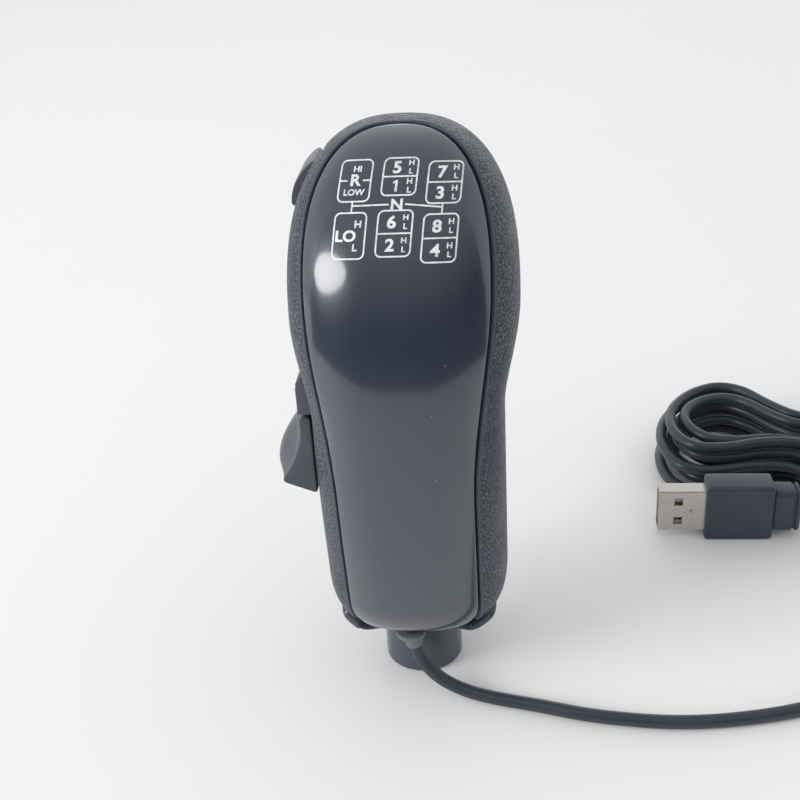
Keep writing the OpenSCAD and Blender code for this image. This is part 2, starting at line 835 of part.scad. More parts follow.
table_z = cable_d / 2 * 1.04;
cable_points = [
    exit_at, exit_at + 3 * exit_dir, [1.7, -14.5, 6.9], [5, -15.5, 4.1], [9.8, -16.9, 2.3],
    [16, -18.5, table_z], [26, -20.9, table_z], [39, -24, table_z], [56, -25.5, table_z], [73, -23.5, table_z],
    [88, -19, table_z], [102, -11.5, table_z], [114.5, -1, table_z], [122.5, 10, table_z],
    [126.3, 20, table_z], [126, 29, table_z], [124.2, 36, table_z + 0.5],
    hank_end + cable_d * hank_tail, hank_end
];
cable_route = smooth(cable_points, 3);

module usb_cable() {
    color("#18181a") cord(cable_points, 3, cable_d, 8);
}

// Plug, standing on its narrow edge
plug_x = 58.8;
plug_y = 46.5;
plug_z = 8;
shell_len = 12;
shell_h = 12;
shell_t = 4.5;
shell_wall = 0.35;
plug_body_len = 17;
plug_body_h = 16;
plug_body_t = 8;
boot_len = 7;
plug_body_x = plug_x + shell_len;
boot_x = plug_body_x + plug_body_len;

module rounded_bar(x, len, h, t, r) {
    translate([x, plug_y, plug_z]) rotate([0, 90, 0]) linear_extrude(len) {
        square([h - 2 * r, t], center = true);
        square([h, t - 2 * r], center = true);
        for (a = [-1, 1], b = [-1, 1])
            translate([a * (h / 2 - r), b * (t / 2 - r)]) circle(r = r);
    }
}

module plug_lead() {
    color("#18181a")
    cord([
        [boot_x + boot_len, plug_y, plug_z], [boot_x + boot_len + cable_d, plug_y, plug_z],
        blend([boot_x + boot_len + cable_d, plug_y, plug_z], hank_route[0] - cable_d * hank_head, 0.5),
        hank_route[0] - cable_d * hank_head, hank_route[0]
    ], 4, cable_d, 8);
}

module plug_boot() {
    color("#222225")
    rounded_bar(boot_x, boot_len, plug_body_h - 4, plug_body_t - 1.6, 1.6);
}

module plug_body() {
    color("#2a2a2d")
    rounded_bar(plug_body_x, plug_body_len, plug_body_h, plug_body_t, 1.2);
}

module plug_shell() {
    color("#c8cacd")
    difference() {
        rounded_bar(plug_x, shell_len, shell_h, shell_t, 0.4);
        rounded_bar(plug_x - 1, shell_len + 2, shell_h - 2 * shell_wall, shell_t - 2 * shell_wall, 0.2);
        for (side = [-1, 1])
            translate([plug_x + 5, plug_y, plug_z + side * 2.9]) cube([2.2, shell_t + 2, 2.2], center = true);
    }
}

tongue_y = plug_y + shell_t / 2 - shell_wall - 1.9;

module plug_tongue() {
    color("#efeee8")
    translate([plug_x + 0.6, tongue_y, plug_z - shell_h / 2 + shell_wall + 0.3])
        cube([shell_len - 0.6, 1.9, shell_h - 2 * shell_wall - 0.6]);
}

module plug_contacts() {
    color("#d2b15c")
    for (k = [-1.5 : 1 : 1.5])
        translate([plug_x + 1.6, tongue_y - 0.2, plug_z + k * 2.3 - 0.5]) cube([shell_len - 2.6, 0.2, 1]);
}

echo(
    hank_least_gap = hank_gap, hank_length = route_length(hank_route), cable_length = route_length(cable_route)
);

grip_shell();
face_plate();
bottom_cap();
collar_sleeve();
threaded_insert();
face_screws();
cap_screws();
range_cradle();
range_lever();
range_pin();
range_spring();
range_switch();
range_plunger();
splitter_cradle();
splitter_rocker();
splitter_pin();
splitter_spring();
splitter_switch();
splitter_plunger();
controller_board();
controller_chip();
board_connectors();
board_screws();
range_wires();
splitter_wires();
usb_inner_lead();
cable_grommet();
usb_cable();
cable_hank();
cable_tie();
plug_lead();
plug_boot();
plug_body();
plug_shell();
plug_tongue();
plug_contacts();
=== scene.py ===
# %% [markdown]
# # A truck-style gear knob for driving games
# The knob has a grained grip shell, a glossy face plate with a gate diagram, a range lever on its
# left side, a splitter rocker above it, and a USB lead that is folded into a hank.
# The solids of the part come in first, as a fixed frame. Every visible surface is then made or
# finished here, in metres and in the same frame: the front looks towards -Y and +Z is up.

import math

import bmesh
import bpy
import numpy as np
from mathutils import Matrix, Quaternion, Vector


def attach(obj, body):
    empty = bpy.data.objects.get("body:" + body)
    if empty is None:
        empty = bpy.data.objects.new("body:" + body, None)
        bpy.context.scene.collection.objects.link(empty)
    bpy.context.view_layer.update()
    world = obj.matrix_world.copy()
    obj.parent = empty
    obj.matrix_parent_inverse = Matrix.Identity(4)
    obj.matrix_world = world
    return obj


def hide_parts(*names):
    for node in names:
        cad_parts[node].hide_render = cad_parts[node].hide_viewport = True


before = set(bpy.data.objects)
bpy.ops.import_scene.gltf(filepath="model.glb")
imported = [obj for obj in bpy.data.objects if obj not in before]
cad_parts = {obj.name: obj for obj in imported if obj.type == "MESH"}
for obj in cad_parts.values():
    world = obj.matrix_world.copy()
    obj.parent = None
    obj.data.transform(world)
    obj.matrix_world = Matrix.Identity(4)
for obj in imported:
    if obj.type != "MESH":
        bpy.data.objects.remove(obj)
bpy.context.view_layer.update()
MM = 0.001

# %% [markdown]
# ## Camera
# A camera can be placed by eye, but a solved one saves many renders. The outline of the knob and
# the table gave this place, a 54 mm lens and a small roll, so the picture's edges come out right.

# %% Camera
CAMERA_AT = Vector((21.3, -219.2, 187.2)) * MM
CAMERA_PAN, CAMERA_DIP, CAMERA_ROLL = 6.1, 28.7, -3.7


def in_scene(name, data):
    """A new object in the scene, whose data has its name too."""
    data.name = name
    obj = bpy.data.objects.new(name, data)
    bpy.context.scene.collection.objects.link(obj)
    return obj


camera = in_scene("camera", bpy.data.cameras.new("camera"))
camera.data.lens = 54
camera.data.sensor_width = 36
camera.data.clip_start = 0.01
stand = Matrix.Translation(CAMERA_AT)
for degrees, axis in ((CAMERA_PAN, "Z"), (90 - CAMERA_DIP, "X"), (CAMERA_ROLL, "Z")):
    stand = stand @ Matrix.Rotation(math.radians(degrees), 4, axis)
camera.matrix_world = stand
bpy.context.scene.camera = camera
bpy.context.scene.view_settings.view_transform = "Standard"
print("camera at", [round(v, 4) for v in camera.location])

# %% [markdown]
# ## Helpers for finishes
# Each finish is a Principled shader. A value that is the same all over goes straight onto the
# shader's socket, and only what changes over the surface comes from texture nodes. The patterns
# read Object coordinates, which are metres here because every piece sits at the origin.

# %% Node helpers
def feed(node, *listed, **named):
    """Sockets of a node, in order or by name.

    A node stands for its first output. An output is linked, and anything else is a constant.
    """
    for key, value in [*enumerate(listed), *named.items()]:
        socket = node.inputs[key.replace("_", " ") if isinstance(key, str) else key]
        if isinstance(value, bpy.types.Node):
            value = value.outputs[0]
        if isinstance(value, bpy.types.NodeSocket):
            node.id_data.links.new(value, socket)
        else:
            socket.default_value = value


def add_node(tree, kind, *listed, operation=None, **named):
    """A node of a kind with its sockets fed."""
    made = tree.nodes.new(kind)
    if operation:
        made.operation = operation
    feed(made, *listed, **named)
    return made


def calc(tree, operation, *values):
    """A Math node."""
    return add_node(tree, "ShaderNodeMath", *values, operation=operation)


# %% Pattern helpers
def new_finish(name, color, roughness, **sockets):
    """A material with a Principled shader whose constant sockets are set."""
    material = bpy.data.materials.new(name)
    material.use_nodes = True
    shader = material.node_tree.nodes["Principled BSDF"]
    feed(shader, Base_Color=(*color, 1), Roughness=roughness, **sockets)
    return material, material.node_tree, shader


def object_coords(tree, scale=(1, 1, 1)):
    """Object coordinates, stretched by a scale."""
    coords = tree.nodes.new("ShaderNodeTexCoord")
    return add_node(tree, "ShaderNodeMapping", coords.outputs["Object"], Scale=scale)


def noise(tree, where, scale, detail):
    """Noise from 0 to 1 on the given coordinates."""
    return add_node(tree, "ShaderNodeTexNoise", Vector=where, Scale=scale, Detail=detail)


def cells(tree, where, scale, feature="F1"):
    """Distance in a pattern of cells, from their middles or from their borders."""
    made = tree.nodes.new("ShaderNodeTexVoronoi")
    made.feature = feature
    feed(made, Vector=where, Scale=scale)
    return made


def map_range(tree, value, low, high, to_low, to_high):
    """A value carried from one range to another."""
    return add_node(tree, "ShaderNodeMapRange", value, low, high, to_low, to_high)


def mix_color(tree, share, a, b):
    """Two colours mixed by a share."""
    made = tree.nodes.new("ShaderNodeMix")
    made.data_type = "RGBA"
    made.inputs[6].default_value = (*a, 1)
    made.inputs[7].default_value = (*b, 1)
    feed(made, share)
    return made.outputs[2]


def bump(tree, shader, height, strength, distance):
    """Height that the light sees, without new geometry."""
    made = add_node(tree, "ShaderNodeBump", Strength=strength, Distance=distance, Height=height)
    feed(shader, Normal=made)


# %% Plastic, metal and placing
def moulded_plastic(name, color, roughness, grain_scale=2600, grain=0.25):
    """Satin plastic with a fine spark-eroded grain and a little unevenness."""
    material, tree, shader = new_finish(name, color, roughness)
    where = object_coords(tree)
    broad = noise(tree, where, 90, 3)
    lighter = tuple(c * 1.25 + 0.002 for c in color)
    feed(
        shader,
        Base_Color=mix_color(tree, map_range(tree, broad, 0.35, 0.75, 0, 1), color, lighter),
        Roughness=map_range(tree, broad, 0.3, 0.7, roughness - 0.05, roughness + 0.07),
    )
    bump(tree, shader, noise(tree, where, grain_scale, 2), grain, 0.0001)
    return material


def bare_metal(name, color, roughness):
    """Metal with fine uneven polish."""
    material, tree, shader = new_finish(name, color, roughness, Metallic=1.0)
    polish = noise(tree, object_coords(tree), 900, 5)
    darker = tuple(c * 0.8 for c in color)
    feed(
        shader,
        Base_Color=mix_color(tree, map_range(tree, polish, 0.4, 0.8, 0, 1), color, darker),
        Roughness=map_range(tree, polish, 0.3, 0.7, roughness - 0.08, roughness + 0.12),
    )
    return material


def dress(obj, material):
    """One material for a whole object."""
    obj.data.materials.clear()
    obj.data.materials.append(material)


def place(name, data, finish, body="knob"):
    """A new object with a finish that rides on a body of the frame."""
    obj = in_scene(name, data)
    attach(obj, body)
    dress(obj, finish)
    return obj


# %% [markdown]
# ## Helpers for shapes
# Most shapes here are lists of points in millimetres with faces that name them by number. A row of
# points that is joined to the next row, all the way round, makes a tube, a block or a strap.

# %% Small sums
def ease(t):
    """From 0 to 1, slow at both ends."""
    u = np.clip(t, 0, 1)
    return u * u * (3 - 2 * u)


def blend(a, b, t):
    return a + (b - a) * t


def arch(t, power):
    """From 1 down to 0 along a quarter of a rounded square."""
    return (1 - np.clip(t, 0, 1) ** power) ** (1 / power)


def unit(v):
    return v / np.linalg.norm(v)


def unit_rows(v, least=1e-9):
    return v / np.maximum(np.linalg.norm(v, axis=1, keepdims=True), least)


def left_of(way):
    """Unit vectors at right angles to flat ones."""
    way = unit_rows(way)
    return np.stack([-way[:, 1], way[:, 0]], 1)


# %% Mesh helpers
def grid_mesh(verts, faces):
    """A mesh from points in metres and faces."""
    mesh = bpy.data.meshes.new("shape")
    mesh.from_pydata([tuple(v) for v in verts], [], [tuple(f) for f in faces])
    mesh.update()
    return mesh


def ring_faces(rows, cols, closed=False):
    """Quads between rows of points, each row a ring. Closed joins the last row to the first."""
    faces = []
    for row in range(rows if closed else rows - 1):
        here, there = row * cols, (row + 1) % rows * cols
        for k in range(cols):
            after = (k + 1) % cols
            faces.append((here + k, here + after, there + after, there + k))
    return faces


def row_solid(rows):
    """Points and faces of rows that are joined in order and closed at both ends."""
    n = len(rows[0])
    last = (len(rows) - 1) * n
    caps = [tuple(range(n))[::-1], tuple(range(last, last + n))]
    return np.vstack(rows), ring_faces(len(rows), n) + caps


def merged(parts):
    """Points and faces of several parts as one."""
    verts, faces, count = [], [], 0
    for part_verts, part_faces in parts:
        verts.append(part_verts)
        faces += [tuple(i + count for i in face) for face in part_faces]
        count += len(part_verts)
    return np.vstack(verts), faces


def joined(parts, turn=0.0, at=(0, 0, 0)):
    """One mesh from several parts, turned about y and moved, with its faces turned outwards."""
    p, faces = merged(parts)
    c, s = math.cos(turn), math.sin(turn)
    p = np.stack([p[:, 0] * c + p[:, 2] * s, p[:, 1], -p[:, 0] * s + p[:, 2] * c], 1) + at
    mesh = grid_mesh(p * MM, faces)
    work = bmesh.new()
    work.from_mesh(mesh)
    bmesh.ops.recalc_face_normals(work, faces=work.faces[:])
    work.to_mesh(mesh)
    work.free()
    mesh.shade_smooth()
    mesh.set_sharp_from_angle(angle=math.radians(50))
    return mesh


# %% [markdown]
# ## Cable
# On the real object a thin USB cable leaves a grommet under the front, lies on the table in one
# long bow, and is folded into a hank that the plug lies beside. A curve with a round bevel is the
# plain way to draw a cable. Its line is the solids' own route, made finer with a smooth spline.

# %% Cable route in millimetres
CABLE_D = 3.0
EXIT_TURN, EXIT_LEN = math.radians(166), 3.4
EXIT_DIR = np.array([math.sin(EXIT_TURN), 0, math.cos(EXIT_TURN)])
GROMMET_AT = np.array([-1.5, -13.8, 15.4])
SLEEVE_AT = GROMMET_AT + [0, 0, 0.6]
EXIT = SLEEVE_AT + EXIT_LEN * EXIT_DIR
TABLE = CABLE_D / 2 * 1.04
TURNS, LAYERS, TURN_RINGS = 2, 4, 24
TURN_START, TURN_END = 0.13, 0.12
HANK_MID, HANK_TURN = np.array([100.0, 75.0]), math.radians(-21)
HANK_HALF = 79 / 2 - CABLE_D / 2
WAIST_IN, WAIST_POWER, END_STEP = 2.0, 6, 3.8
WAIST_OUT = WAIST_IN + TURNS * (CABLE_D + 1.3)
END_IN = 16.0
END_OUT = END_IN + TURNS * 9.5
LAYER = CABLE_D + 0.65
HANK_LIFT = 1.1 + CABLE_D / 2 * 1.02
PLUG_AXIS = np.array([0.0, 46.5, 8.0])
BOOT_END = PLUG_AXIS + [94.8, 0, 0]


def on_hank(p, q, z):
    """A point along and across the hank, at a height."""
    c, s = math.cos(HANK_TURN), math.sin(HANK_TURN)
    return np.array([HANK_MID[0] + p * c - q * s, HANK_MID[1] + p * s + q * c, z])


def hank_at(t):
    """A point of the hank after t turns: it spirals in and out, layer by layer, from the top down."""
    angle = math.radians(270 + 360 * t)
    k = min(math.floor(t / TURNS), LAYERS - 1)
    u = t / TURNS - k
    s = u if k % 2 == 0 else 1 - u
    tight = abs(math.sin(angle)) ** WAIST_POWER
    p = (HANK_HALF - TURNS * END_STEP * s) * math.cos(angle)
    q = math.sin(angle) * blend(blend(END_OUT, END_IN, s), blend(WAIST_OUT, WAIST_IN, s), tight)
    turn = math.floor(t / TURNS + 0.5)
    if turn in (0, LAYERS):
        descent = min(turn, LAYERS - 1)
    else:
        descent = turn - 1 + float(ease((t - turn * TURNS) * 2 + 0.5))
    return on_hank(p, q, HANK_LIFT + (LAYERS - 1 - descent) * LAYER)


def spline(points, steps):
    """A smooth curve through points, with steps in each gap."""
    p = np.array(points, float)
    p = np.vstack([2 * p[0] - p[1], p, 2 * p[-1] - p[-2]])
    out = []
    for i in range(1, len(p) - 2):
        a, b, c, d = p[i - 1:i + 3]
        for k in range(steps):
            t = k / steps
            out.append(0.5 * (2 * b + (c - a) * t + (2 * a - 5 * b + 4 * c - d) * t * t
                              + (3 * b - a - 3 * c + d) * t ** 3))
    out.append(p[-2])
    return np.array(out)


all_turns = TURNS * LAYERS
hank_steps = all_turns * TURN_RINGS
hank = [hank_at(blend(TURN_START, all_turns + TURN_END, i / hank_steps)) for i in range(hank_steps + 1)]
hank_head = unit(hank[1] - hank[0])
hank_tail = unit(hank[-1] - hank[-2])
hank = [hank[0] - CABLE_D * hank_head] + hank + [hank[-1] + CABLE_D * hank_tail]
falling = [[1.7, -14.5, 6.9], [5, -15.5, 4.1], [9.8, -16.9, 2.3]]
lying = [
    (16, -18.5), (26, -20.9), (39, -24), (56, -25.5), (73, -23.5), (88, -19), (102, -11.5),
    (114.5, -1), (122.5, 10), (126.3, 20), (126, 29),
]
free_points = [EXIT, EXIT + 3 * EXIT_DIR] + falling + [[x, y, TABLE] for x, y in lying]
free_points += [[124.2, 36, TABLE + 0.5], hank[-1] + CABLE_D * hank_tail, hank[-1]]
lead_in = BOOT_END + [CABLE_D, 0, 0]
lead_out = hank[0] - CABLE_D * hank_head
lead_points = [BOOT_END, lead_in, (lead_in + lead_out) / 2, lead_out, hank[0]]
coarse = np.vstack([
    spline(free_points, 3), np.array(hank[::-1])[1:], spline(lead_points, 4)[::-1][1:]
])
cable_line = spline(coarse, 3)

# %% Cable
cable_black = moulded_plastic("cable_black", (0.024, 0.031, 0.043), 0.36, 1500, 0.1)
cable_curve = bpy.data.curves.new("usb_cord", "CURVE")
cable_curve.dimensions = "3D"
cable_curve.bevel_depth = 1.0
cable_curve.bevel_resolution = 4
cable_curve.use_fill_caps = True
cable_spline = cable_curve.splines.new("POLY")
cable_spline.points.add(len(cable_line) - 1)
for spline_point, place_mm in zip(cable_spline.points, cable_line):
    spline_point.co = (*(place_mm * MM), 1)
    spline_point.radius = CABLE_D / 2 * MM
cable_spline.use_smooth = True
usb_cord = place("usb_cord", cable_curve, cable_black)
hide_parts("usb_cable", "cable_hank", "plug_lead")
print("cable thickness in mm:", CABLE_D)

# %% [markdown]
# ## Table and light
# The object stands on a pale table by a window. The table is one large plane. A soft dome, brightest
# at the sides and behind, gives most of the light, and one window-sized lamp on the left gives the
# rest, with the round highlight on the plate. A dark curved card before the object stands for the
# unlit side of the room, which a glossy plate mirrors. It has a low strip close to the object and a
# tall one behind the lamp. Only reflections see it, and it fades out upwards, so the light on
# everything else stays even.

# %% Table
TABLE_HALF = 5.0
table_white, tree, shader = new_finish("table_white", (0.92, 0.907, 0.893), 0.55)
feed(shader, Specular_IOR_Level=0.25)
table_tone = noise(tree, object_coords(tree), 6, 2)
feed(shader, Base_Color=mix_color(tree, table_tone, (0.91, 0.897, 0.883), (0.93, 0.917, 0.903)))
table_corners = [(TABLE_HALF * x, TABLE_HALF * y, 0) for x, y in ((-1, -1), (1, -1), (1, 1), (-1, 1))]
table = in_scene("table", grid_mesh(table_corners, [(0, 1, 2, 3)]))
dress(table, table_white)
print("table side in metres:", 2 * TABLE_HALF)

# %% Window lamp
WINDOW_AT, WINDOW_AIM = Vector((-1.316, -0.642, 0.707)), Vector((-0.012, -0.016, 0.102))
WINDOW_SIZE, WINDOW_ROLL, WINDOW_RADIANCE = (1.216, 0.464), 28, 10.2
window = in_scene("window", bpy.data.lights.new("window", "AREA"))
window.data.shape = "ELLIPSE"
window.data.size, window.data.size_y = WINDOW_SIZE
window.data.energy = WINDOW_RADIANCE * math.pi * math.pi / 4 * WINDOW_SIZE[0] * WINDOW_SIZE[1]
window.location = WINDOW_AT
facing = (WINDOW_AIM - WINDOW_AT).to_track_quat("-Z", "Y")
window.rotation_euler = (facing @ Quaternion((0, 0, 1), math.radians(WINDOW_ROLL))).to_euler()
window.visible_camera = False
print("lamp energy in watts:", round(window.data.energy, 2))

# %% Dome
world = bpy.data.worlds.new("dome")
bpy.context.scene.world = world
world.use_nodes = True
dome = world.node_tree
dome_coords = dome.nodes.new("ShaderNodeTexCoord")
dome_axes = add_node(dome, "ShaderNodeSeparateXYZ", dome_coords.outputs["Generated"]).outputs
dome_level = map_range(dome, dome_axes["Z"], 0.35, 0.9, 0.95, 0.66)
dome_far = map_range(dome, dome_axes["Y"], 0.86, 1.0, 0.0, 1.2)
dome_sum = calc(dome, "ADD", dome_level, dome_far)
feed(dome.nodes["Background"], Color=(0.97, 0.985, 1.0, 1), Strength=dome_sum)
print("dome nodes:", len(dome.nodes))

# %% Dark card
CARD_FROM, CARD_TO, CARD_STEPS = -86, 82, 32
CARD_EDGE = ((CARD_FROM, -5, CARD_TO), (0.42, 0.57, 0.29))
CARD_FAR = 1.8
card_dark, tree, shader = new_finish("card_dark", (0.02, 0.024, 0.032), 0.9)
card_axes = add_node(tree, "ShaderNodeSeparateXYZ", object_coords(tree)).outputs
feed(shader, Alpha=map_range(tree, card_axes["Z"], 0.5, 2.4, 1.0, 0.0))
card_verts = []
for i in range(CARD_STEPS + 1):
    bearing = blend(CARD_FROM, CARD_TO, i / CARD_STEPS)
    edge = float(np.interp(bearing, *CARD_EDGE))
    turn = math.radians(bearing)
    for radius, height in ((edge, 0.002), (edge, 0.13), (CARD_FAR, 0.08), (CARD_FAR, 2.6)):
        card_verts.append((radius * math.sin(turn), -radius * math.cos(turn), height))
card_faces = [(k, k + 1, k + 5, k + 4) for k in range(0, 4 * CARD_STEPS, 2)]
card = in_scene("room_card", grid_mesh(card_verts, card_faces))
dress(card, card_dark)
card.visible_camera = False
card.visible_diffuse = False
card.visible_shadow = False
print("card faces:", len(card_faces))

# %% [markdown]
# ## The body's skin
# The grip shell, the face plate and the cap under them are one smooth form that thin joints cut
# apart. One formula gives its width, front and back at each height. A fine net of triangles is laid
# on it once, and each piece keeps the triangles inside its own outline. The cut edge is then rolled
# over with a small radius and given a wall, which a Boolean would leave sharp and ragged.

# %% Body curve in millimetres
TOTAL_H, HEAD_W, HEAD_Z, GRIP_W, WAIST_Z = 122.5, 46.5, 89.5, 39.6, 67.0
FOOT_Z, BASE_Z, FRONT, FOOT_FRONT, BELLY_Z = 28.0, 12.0, 26.8, 21.7, 65.0
BACK, GRIP_BACK, CROWN_BACK, BACK_Z = 32.0, 22.0, 15.0, 93.5
SIDE_POWER, FRONT_POWER, BOW_POWER, PLAN_POWER = 2.56, 2.2, 1.6, 0.8
PLATE_TILT = math.tan(math.radians(25))
PLATE_W, PLATE_FOOT_W, PLATE_LOW, PLATE_GAP = 35.6, 27.5, 20.0, 0.35
SEAM_Z = PLATE_LOW - 0.6
WALL = 2.0


def foot(z):
    """How far the body is drawn in near its foot, as a share."""
    return arch((FOOT_Z - z) / (FOOT_Z - BASE_Z), SIDE_POWER)


def half_width(z):
    head = HEAD_W / 2 * arch((z - HEAD_Z) / (TOTAL_H - HEAD_Z), SIDE_POWER)
    grip = blend(GRIP_W, HEAD_W, ease((z - WAIST_Z) / (HEAD_Z - WAIST_Z))) / 2 * foot(z)
    return np.where(z > HEAD_Z, head, grip)


def front_y(z):
    crown = arch((z - BELLY_Z) / (TOTAL_H - BELLY_Z), FRONT_POWER)
    bow = np.maximum(0, (BELLY_Z - z) / (BELLY_Z - FOOT_Z)) ** BOW_POWER
    upper = CROWN_BACK - (CROWN_BACK + FRONT) * crown
    return np.where(z > BELLY_Z, upper, -blend(FRONT, FOOT_FRONT, bow) * foot(z))


def back_y(z):
    upper = CROWN_BACK + (BACK - CROWN_BACK) * arch((z - BACK_Z) / (TOTAL_H - BACK_Z), FRONT_POWER)
    lower = blend(GRIP_BACK, BACK, ease((z - FOOT_Z * 2) / (BACK_Z - FOOT_Z * 2))) * foot(z)
    return np.where(z > BACK_Z, upper, lower)


def skin(z, angle):
    """Points of the body's surface at heights and angles round the middle."""
    near, far = front_y(z), back_y(z)
    soft = [np.sign(v) * np.abs(v) ** PLAN_POWER for v in (np.cos(angle), np.sin(angle))]
    return np.stack([half_width(z) * soft[0], (near + far) / 2 + (far - near) / 2 * soft[1], z], -1)


def skin_net(rows, cols):
    """Points and triangles of the whole skin, closed at the crown and at the foot."""
    heights = blend(BASE_Z, TOTAL_H, (1 - np.cos(np.pi * np.arange(1, rows) / rows)) / 2)
    angles = np.arange(cols) * 2 * np.pi / cols
    points = skin(*np.meshgrid(heights, angles, indexing="ij")).reshape(-1, 3)
    low, high = len(points), len(points) + 1
    points = np.vstack([points, [[0, 0, BASE_Z], [0, CROWN_BACK, TOTAL_H]]])
    tris = []
    for a, b, c, d in ring_faces(rows - 1, cols):
        tris += [(a, b, c), (a, c, d)]
    last = (rows - 2) * cols
    for j in range(cols):
        k = (j + 1) % cols
        tris += [(low, k, j), (high, last + j, last + k)]
    return points, np.array(tris)


body_net = skin_net(170, 200)
print("skin net:", len(body_net[0]), "points", len(body_net[1]), "triangles")

# %% Cutting a net
def sides_of(tris):
    """The directed sides of triangles."""
    return np.vstack([tris[:, [0, 1]], tris[:, [1, 2]], tris[:, [2, 0]]])


def clip_net(points, tris, inside):
    """The part of a net where inside(points) is above 0, with new points along the border."""
    value = inside(points)
    count = (value[tris] > 0).sum(1)
    crossing = tris[(count > 0) & (count < 3)]
    edges = np.unique(np.sort(sides_of(crossing), 1), axis=0)
    edges = edges[(value[edges[:, 0]] > 0) != (value[edges[:, 1]] > 0)]
    good = np.where(value[edges[:, 0]] > 0, edges[:, 0], edges[:, 1])
    bad = np.where(value[edges[:, 0]] > 0, edges[:, 1], edges[:, 0])
    low, high = np.zeros(len(edges)), np.ones(len(edges))
    for _ in range(24):
        middle = (low + high) / 2
        kept = inside(blend(points[good], points[bad], middle[:, None])) > 0
        low, high = np.where(kept, middle, low), np.where(kept, high, middle)
    fresh = blend(points[good], points[bad], low[:, None])
    index = {tuple(edge): len(points) + i for i, edge in enumerate(edges)}
    out = [tuple(t) for t in tris[count == 3]]
    for t in crossing:
        ring = []
        for a, b in zip(t.tolist(), np.roll(t, -1).tolist()):
            if value[a] > 0:
                ring.append(a)
            if (value[a] > 0) != (value[b] > 0):
                ring.append(index[(min(a, b), max(a, b))])
        out += [(ring[0], ring[k], ring[k + 1]) for k in range(1, len(ring) - 1)]
    points = np.vstack([points, fresh])
    used, flat = np.unique(np.array(out), return_inverse=True)
    return points[used], flat.reshape(-1, 3)


def net_normals(points, tris):
    """Smooth normals of a net."""
    a, b, c = (points[tris[:, k]] for k in range(3))
    face = np.cross(b - a, c - a)
    total = np.zeros_like(points)
    for k in range(3):
        np.add.at(total, tris[:, k], face)
    return unit_rows(total, 1e-12)


# %% Rolling an edge
def rolled_shell(points, tris, radius, steps=4):
    """A closed shell from an open net: a rolled edge, a wall's thickness, and an inner side."""
    normals = net_normals(points, tris)
    seen = dict.fromkeys(map(tuple, sides_of(tris).tolist()))
    border = np.array([edge for edge in seen if edge[::-1] not in seen])
    along = points[border[:, 1]] - points[border[:, 0]]
    side = unit_rows(np.cross(along, normals[border[:, 0]]))
    outward = np.zeros_like(points)
    for k in range(2):
        np.add.at(outward, border[:, k], side)
    rim = np.unique(border)
    out_dir = unit_rows(outward[rim])
    slot = {int(v): i for i, v in enumerate(rim)}
    verts = [points]
    starts = []
    for k in range(1, steps + 2):
        turn = math.pi / 2 * min(k, steps) / steps
        drop = radius * (math.cos(turn) - 1) if k <= steps else -WALL
        starts.append(len(points) + len(starts) * len(rim))
        verts.append(points[rim] + radius * math.sin(turn) * out_dir + drop * normals[rim])
    inner = starts[-1] + len(rim)
    verts.append(points - WALL * normals)
    faces = [tuple(t) for t in tris] + [tuple(t[::-1] + inner) for t in tris]
    for a, b in border.tolist():
        ring = [(a, b)] + [(s + slot[a], s + slot[b]) for s in starts] + [(inner + a, inner + b)]
        for (a0, b0), (a1, b1) in zip(ring, ring[1:]):
            faces.append((b0, a0, a1, b1))
    mesh = grid_mesh(np.vstack(verts) * MM, faces)
    mesh.shade_smooth()
    return mesh


# %% Outline of the plate
def lean(z, y):
    """Height along the tilted plane that the plate's outline is drawn in."""
    return z + y * PLATE_TILT


def lean_at(z):
    return float(lean(z, front_y(np.array(z))))


LEAN_LOW, LEAN_TOP = lean_at(PLATE_LOW), lean_at(TOTAL_H - 0.2)
LEAN_WAIST, LEAN_SHOULDER = (blend(LEAN_LOW, LEAN_TOP, share) for share in (0.29, 0.7))
CROWN_POWER, FOOT_POWER, FOOT_ROUND = 2.4, 4, 10
PLATE_DEPTH = [(15, 1), (20, 5.5), (26, 8), (65, 13), (89.5, 15), (114.5, 14), (122.5, 10)]
depth_z, depth_y = np.array(PLATE_DEPTH, float).T
depth_y = depth_y + front_y(depth_z)


def plate_field(points, margin):
    """Above 0 inside the plate's outline, grown by a margin, on the front of the body."""
    x, y, z = points.T
    middle = (LEAN_LOW + LEAN_TOP) / 2
    grow = 1 + 2 * margin / (LEAN_TOP - LEAN_LOW)
    q = middle + (lean(z, y) - middle) / grow
    half = blend(PLATE_FOOT_W, PLATE_W, ease((q - LEAN_WAIST) / (LEAN_SHOULDER - LEAN_WAIST))) / 2
    half = half * arch((q - LEAN_SHOULDER) / (LEAN_TOP - LEAN_SHOULDER), CROWN_POWER)
    half = half * arch((LEAN_LOW + FOOT_ROUND - q) / FOOT_ROUND, FOOT_POWER)
    ends = np.minimum(LEAN_TOP - q, q - LEAN_LOW) * grow
    behind = np.interp(z, depth_z, depth_y) - y
    return np.minimum(np.minimum(half + margin - np.abs(x), ends), behind)


print("plate height along its plane in mm:", round(LEAN_TOP - LEAN_LOW, 1))
